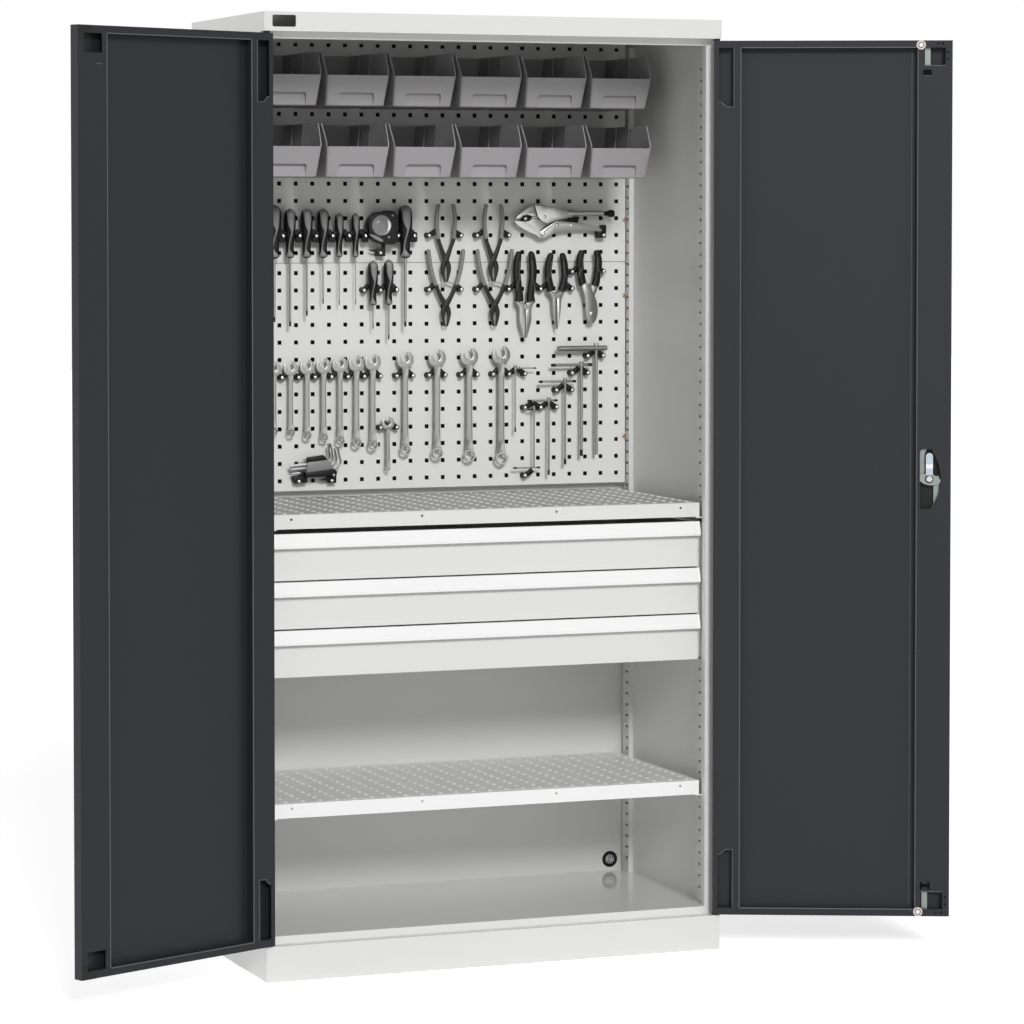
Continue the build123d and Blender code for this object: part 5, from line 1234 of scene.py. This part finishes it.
def makeDoorHoleShades(size):
    # Small punched holes and slots near the right door's free corners, drawn as near-black plates on the
    # face:
    # painted shade standing in for the openings.
    face, half = size["face"], size["holeHalf"]
    boxes = [(u - half, u + half, z - half, z + half) for u, z in size["holes"]]
    boxes += size["topSlot"] + size["bottomSlot"]
    return onDoor(joined([boxPlate(box, 0.6, face - 0.1, face + size["mark"], -0.05, 3) for box in boxes]), 1)


addPiece("rightDoorFolds", makeDoorFolds(doorFace, 1), "doorEdge", body="right_door")
addPiece("leftDoorFolds", makeDoorFolds(doorFace, -1), "doorEdge", body="left_door")
addPiece("rightDoorHoleShades", makeDoorHoleShades(doorFace), "deepBlack", body="right_door")
print("door folds made")

# Lock
lock = dict(
    axis=(462.0, 1018.5),
    casing=(437.0, 491.5, 951.0, 1086.0), casingDepth=(2.0, 7.5),
    leaf=((442.0, 1013.8), (442.0, 1028.5), (450.5, 1029.0), (462.0, 1029.2), (471.0, 1027.2),
          (480.0, 1022.0), (486.5, 1016.2), (483.5, 1007.5), (472.0, 1005.0), (461.0, 1004.8),
          (450.5, 1008.0)),
    leafDepth=(17.4, 20.6), shaft=((6.0, -1.0), (6.0, 18.0)),
    # the tongue's level and depth from the bottom up
    tongue=((1026.4, 22.4), (1040.0, 22.4), (1041.5, 22.5), (1048.5, 23.5), (1050.0, 23.7), (1067.0, 23.7)),
    tongueHalf=7.5, tongueSheet=1.9, tongueTip=7.5,
    band=(454.8, 469.2, 1041.0, 1050.0), bandDepth=(24.2, 25.75),
    spindle=((9.0, 20.0), (9.0, 22.2), (8.4, 22.6)),
    head=((6.8, 22.0), (6.8, 24.6), (6.0, 25.4), (3.4, 25.6), (3.0, 24.8), (0.1, 24.8)),
)


def makeTongue(size):
    # A strip with a rounded end that steps out from the door's inner face: at each level a flat section.
    u = size["axis"][0]
    half, sheet = size["tongueHalf"], size["tongueSheet"]
    levels = list(size["tongue"])
    top, depth = levels[-1]
    rounding = np.radians(np.linspace(15, 84, 7))
    levels += [(top + size["tongueTip"] * math.sin(angle), depth) for angle in rounding]
    widths = [half] * len(size["tongue"]) + [half * math.cos(angle) for angle in rounding]
    rings = []
    for (level, depth), width in zip(levels, widths):
        across = np.array([-width, width, width, -width])
        rings.append(np.column_stack([u + across, depth + sheet * np.array([0, 0, 1, 1]), np.full(4, level)]))
    return skin(np.array(rings))


def makeLock(size):
    u, z = size["axis"]
    leaf = plateShape(size["leaf"], *size["leafDepth"], -0.01)
    shaft = turned(size["shaft"], (u, 0, z), "y", 24)
    ring, head = (turned(size[name], (u, 0, z), "y", 28) for name in ("spindle", "head"))
    # A white band over the tongue's bend: a painted highlight where the bend catches the light.
    band = boxPlate(size["band"], 1.0, *size["bandDepth"], -0.02, 3)
    for name, shape, finish, angle in (
        ("lockCamLeaf", joined([leaf, shaft]), "zincSteel", 40),
        ("lockSpindleRing", ring, "blackSteel", 40),
        ("lockTongue", makeTongue(size), "zincBright", 12), ("lockTongueBendHighlight", band, "gripWhite", 40),
        ("lockSpindleHead", head, "chrome", 40)):
        addPiece(name, onDoor(shape, 1), finish, body="lock_handle", stands=("lock_cam",), angle=angle)
    casing = boxPlate(size["casing"], 4.0, *size["casingDepth"], -0.01)
    addPiece("lockCasing", onDoor(casing, 1), "hookBlack", body="right_door")


makeLock(lock)
print("lock made")

# Shelves' studded tops
shelfTops = dict(
    levels=(962.5, 360.4), half=484.0, front=-212.5, back=255.0, plainFront=18.0, sideInset=8.0, mat=0.25,
    pitch=38.0, firstX=-28.0, firstY=4.6, margin=(6.0, 8.0), stud=(5.4, 8.5), studHeight=2.2,
    studRings=((1.0, 0.0), (0.62, 0.75), (0.2, 1.0)),           # shares of a stud's size and of its height
)


def makeStud(size):
    # A low oval boss: ovals that shrink towards its top.
    wide, deep = size["stud"]
    angle = np.linspace(0, 2 * np.pi, 10, endpoint=False)
    rings = [np.column_stack([wide * share * np.cos(angle), deep * share * np.sin(angle),
                              np.full(10, size["studHeight"] * up)]) for share, up in size["studRings"]]
    return skin(np.array(rings))


def gridLine(first, pitch, low, high):
    # The places of a pattern, given by its first place and its pitch, between two limits.
    return first + pitch * np.arange(math.ceil((low - first) / pitch), math.floor((high - first) / pitch) + 1)


def coverShelves(size):
    mats, places = [], []
    xEdge = size["half"] - size["sideInset"]
    y0, y1 = size["front"] + size["plainFront"], size["back"] - size["sideInset"]
    marginX, marginY = size["margin"]
    columns = gridLine(size["firstX"], size["pitch"], -xEdge + marginX, xEdge - marginX)
    rows = gridLine(size["firstY"], size["pitch"], y0 + marginY, y1 - marginY)
    for level in size["levels"]:
        corners = np.array([(-xEdge, y0), (xEdge, y0), (xEdge, y1), (-xEdge, y1)])
        rings = [np.column_stack([corners, np.full(4, z)]) for z in (level - 0.2, level + size["mat"])]
        mats.append(skin(np.array(rings)))
        places += [(x, y, level + size["mat"] * 0.8) for x in columns for y in rows]
    addPiece("workShelfMat", mats[0], "matGrey")
    addPiece("lowerShelfMat", mats[1], "carcassPaint")
    addPiece("shelfStuds", copies(makeStud(size), places), "gripWhite")


coverShelves(shelfTops)
print("shelf tops made")

# Cable grommet
grommet = dict(
    centre=(472.0, 115.0), sheetFront=261.0, leaves=12, inner=3.4, outer=12.0, gap=0.9,
    # profiles of radius and Y; Y counts from the sheet's front
    ring=((11.6, -0.6), (13.5, -1.0), (15.0, -2.6), (17.0, -2.6), (18.2, -1.4), (18.2, 0.0), (16.6, 0.6),
          (11.6, 0.6)),
    centreRing=((1.7, -0.5), (4.0, -0.5), (4.0, 0.4), (1.7, 0.4)), leafHalf=0.5,
)


def makeGrommet(size):
    (x, z), y = size["centre"], size["sheetFront"]
    shapes = [turned([(radius, y + depth) for radius, depth in size[name]], (x, 0, z), "y", sides, loop=True)
              for name, sides in (("ring", 40), ("centreRing", 24))]
    radii = np.array([size["inner"], size["outer"]])
    # A leaf between two slits: its sides keep half the slit's width from the slits' middle lines.
    reach = np.pi / size["leaves"] - np.arcsin(size["gap"] / 2 / radii)
    radius = np.repeat(radii, (3, 5))
    for index in range(size["leaves"]):
        middle = 2 * np.pi * index / size["leaves"]
        angles = np.concatenate([middle + np.linspace(-1, 1, 3) * reach[0],
                                 middle + np.linspace(1, -1, 5) * reach[1]])
        outline = np.column_stack([x + radius * np.cos(angles), z + radius * np.sin(angles)])
        shapes.append(plateShape(outline, y + size["leafHalf"], y - size["leafHalf"], 0.05))
    addPiece("grommetLeaves", joined(shapes), "grommetRubber", stands=("cable_grommet",))


makeGrommet(grommet)

# Panel clips and the cap's bare plate
clips = dict(
    levels=(1084.0, 1403.0, 1574.0, 1893.0), outer=499.3, width=9.5, half=6.5, rounding=3.5, thickness=2.6,
    # half the slot's width, half its height and its radius; its place as a share of the clip's width
    slot=(2.94, 3.4, 0.8), slotPlace=0.42,
)
capPlate = dict(box=(-494.0, -444.0, 1969.0, 1993.0), corner=3.0, thickness=1.0)


def makeClips(size):
    front, back = cabinet["panelFront"] - size["thickness"], cabinet["panelFront"] + 0.4
    outer, inner, half = size["outer"], size["outer"] - size["width"], size["half"]
    rounded = inner + size["rounding"]
    reachX, reachZ, slotHalf = size["slot"]
    middle = outer - size["width"] * size["slotPlace"]
    bodies, slots = [], []
    for z in size["levels"]:
        corners = [(outer, z + half), (rounded, z + half), (inner, z + half * 0.5), (inner, z - half * 0.5),
                   (rounded, z - half), (outer, z - half), (outer, z)]
        bodies.append(plateShape(throughPoints(corners, 42, closed=True), back, front, 0.7))
        # Each slot is a dark bar on the clip's face: painted shade in the slot.
        line = straightLine((middle - reachX, z - reachZ), (middle + reachX, z + reachZ), front)
        slots.append(swept(line, slotHalf, 0.5, 8))
    bodies += [mirroredShape(shape) for shape in bodies]
    slots += [mirroredShape(shape) for shape in slots]
    addPiece("panelClips", joined(bodies), "brassClip", stands=("pegboard_clips",))
    addPiece("panelClipSlotShade", joined(slots), "blackSteel")


def makeCapPlate(size):
    front = cabinet["front"]
    plate = boxPlate(size["box"], size["corner"], front + 0.2, front - size["thickness"], 0.3)
    addPiece("capPlate", plate, "blackPlastic")


makeClips(clips)
makeCapPlate(capPlate)
print("grommet, clips and cap plate made")


# The tool panels' joint, the rollers
joint = dict(height=1.5, half=497.0, lift=0.15)
rollers = dict(
    centres=((441.0, 1945.5), (441.0, 86.0)), bodies=("upper_roller", "lower_roller"),
    nodes=("top_roller", "bottom_roller"),
    # radius and depth from the door's outer face
    profile=((3.2, 22.3), (9.2, 22.3), (10.0, 22.9), (10.0, 25.1), (9.3, 25.7), (6.8, 25.7), (6.2, 25.1),
             (3.2, 25.1)),
    groove=((6.9, 25.0), (6.9, 25.85), (4.2, 25.85), (4.2, 25.0)),
    pin=((4.65, 26.0), (4.65, 26.35), (4.1, 26.6), (0.1, 26.65)),
)


def makeJoint(size):
    level, front, half = cabinet["panelSeam"], cabinet["panelFront"], size["height"] / 2
    box = (-size["half"], size["half"], level - half, level + half)
    addPiece("panelJoint", boxPlate(box, 0.5, front + 0.1, front - size["lift"], 0.05, 3), "greyPlastic")


def makeRollers(size):
    for (u, z), body, node in zip(size["centres"], size["bodies"], size["nodes"]):
        rim = turned(size["profile"], (u, 0, z), "y", 36, loop=True)
        ring = turned(size["groove"], (u, 0, z), "y", 28, loop=True)
        addPiece(body + "Rim", onDoor(rim, 1), "rollerPlastic", body=body, stands=(node,))
        addPiece(body + "Groove", onDoor(ring, 1), "greyPlastic", body=body, stands=(node,))
        cap = turned(size["pin"], (u, 0, z), "y", 24)
        addPiece(body + "Cap", onDoor(cap, 1), "gripWhite", body=body)


makeJoint(joint)
makeRollers(rollers)
print("joint and rollers made")

# Light, floor and background
studio = dict(
    ambient=0.28, floorHalf=30.0, floorColour=linear(250, 250, 250), floorRoughness=0.9, floorSpecular=0.1,
    floorLift=0.57,
    # angle above the ground, turn from the front, strength, softness; angles in degrees
    suns=((26, -6, 1.84, 14), (25, -95, 0.78, 40)),
)


def seenDirectly(tree):
    # 1 for rays that come from the camera, from a glossy surface or through a clear one.
    path = tree.nodes.new("ShaderNodeLightPath")
    some = mathNode(tree, "MAXIMUM", path.outputs["Is Camera Ray"], path.outputs["Is Glossy Ray"])
    return mathNode(tree, "MAXIMUM", some, path.outputs["Is Transmission Ray"])


def makeWorld(light):
    world = bpy.data.worlds.new("studio")
    bpy.context.scene.world = world
    world.use_nodes = True
    tree = world.node_tree
    background = tree.nodes["Background"]
    background.inputs["Color"].default_value = (1, 1, 1, 1)
    seen = seenDirectly(tree)
    lift = mathNode(tree, "MULTIPLY", seen, 1 - light["ambient"])
    tree.links.new(mathNode(tree, "ADD", lift, light["ambient"]), background.inputs["Strength"])


def makeFloor(light):
    half = light["floorHalf"]
    mesh = bpy.data.meshes.new("floor")
    mesh.from_pydata([(-half, -half, 0), (half, -half, 0), (half, half, 0), (-half, half, 0)], [],
                     [(0, 1, 2, 3)])
    floor = bpy.data.objects.new("floor", mesh)
    bpy.context.scene.collection.objects.link(floor)
    material = bpy.data.materials.new("floorPale")
    material.use_nodes = True
    tree = material.node_tree
    shader = tree.nodes["Principled BSDF"]
    shader.inputs["Base Color"].default_value = light["floorColour"]
    shader.inputs["Roughness"].default_value = light["floorRoughness"]
    shader.inputs["Specular IOR Level"].default_value = light["floorSpecular"]
    glow = tree.nodes.new("ShaderNodeEmission")
    tree.links.new(mathNode(tree, "MULTIPLY", seenDirectly(tree), light["floorLift"]),
                   glow.inputs["Strength"])
    both = tree.nodes.new("ShaderNodeAddShader")
    tree.links.new(shader.outputs[0], both.inputs[0])
    tree.links.new(glow.outputs[0], both.inputs[1])
    tree.links.new(both.outputs[0], tree.nodes["Material Output"].inputs["Surface"])
    mesh.materials.append(material)


def placeLights(light):
    for index, (height, turn, strength, softness) in enumerate(light["suns"]):
        data = bpy.data.lights.new(f"sun{index + 1}", "SUN")
        data.energy = strength
        data.angle = math.radians(softness)
        lamp = bpy.data.objects.new(f"sun{index + 1}", data)
        lamp.rotation_euler = (math.radians(90 - height), 0, math.radians(turn))
        bpy.context.scene.collection.objects.link(lamp)


makeWorld(studio)
makeFloor(studio)
placeLights(studio)
bpy.context.scene.view_settings.view_transform = "Standard"
print("light and floor made")
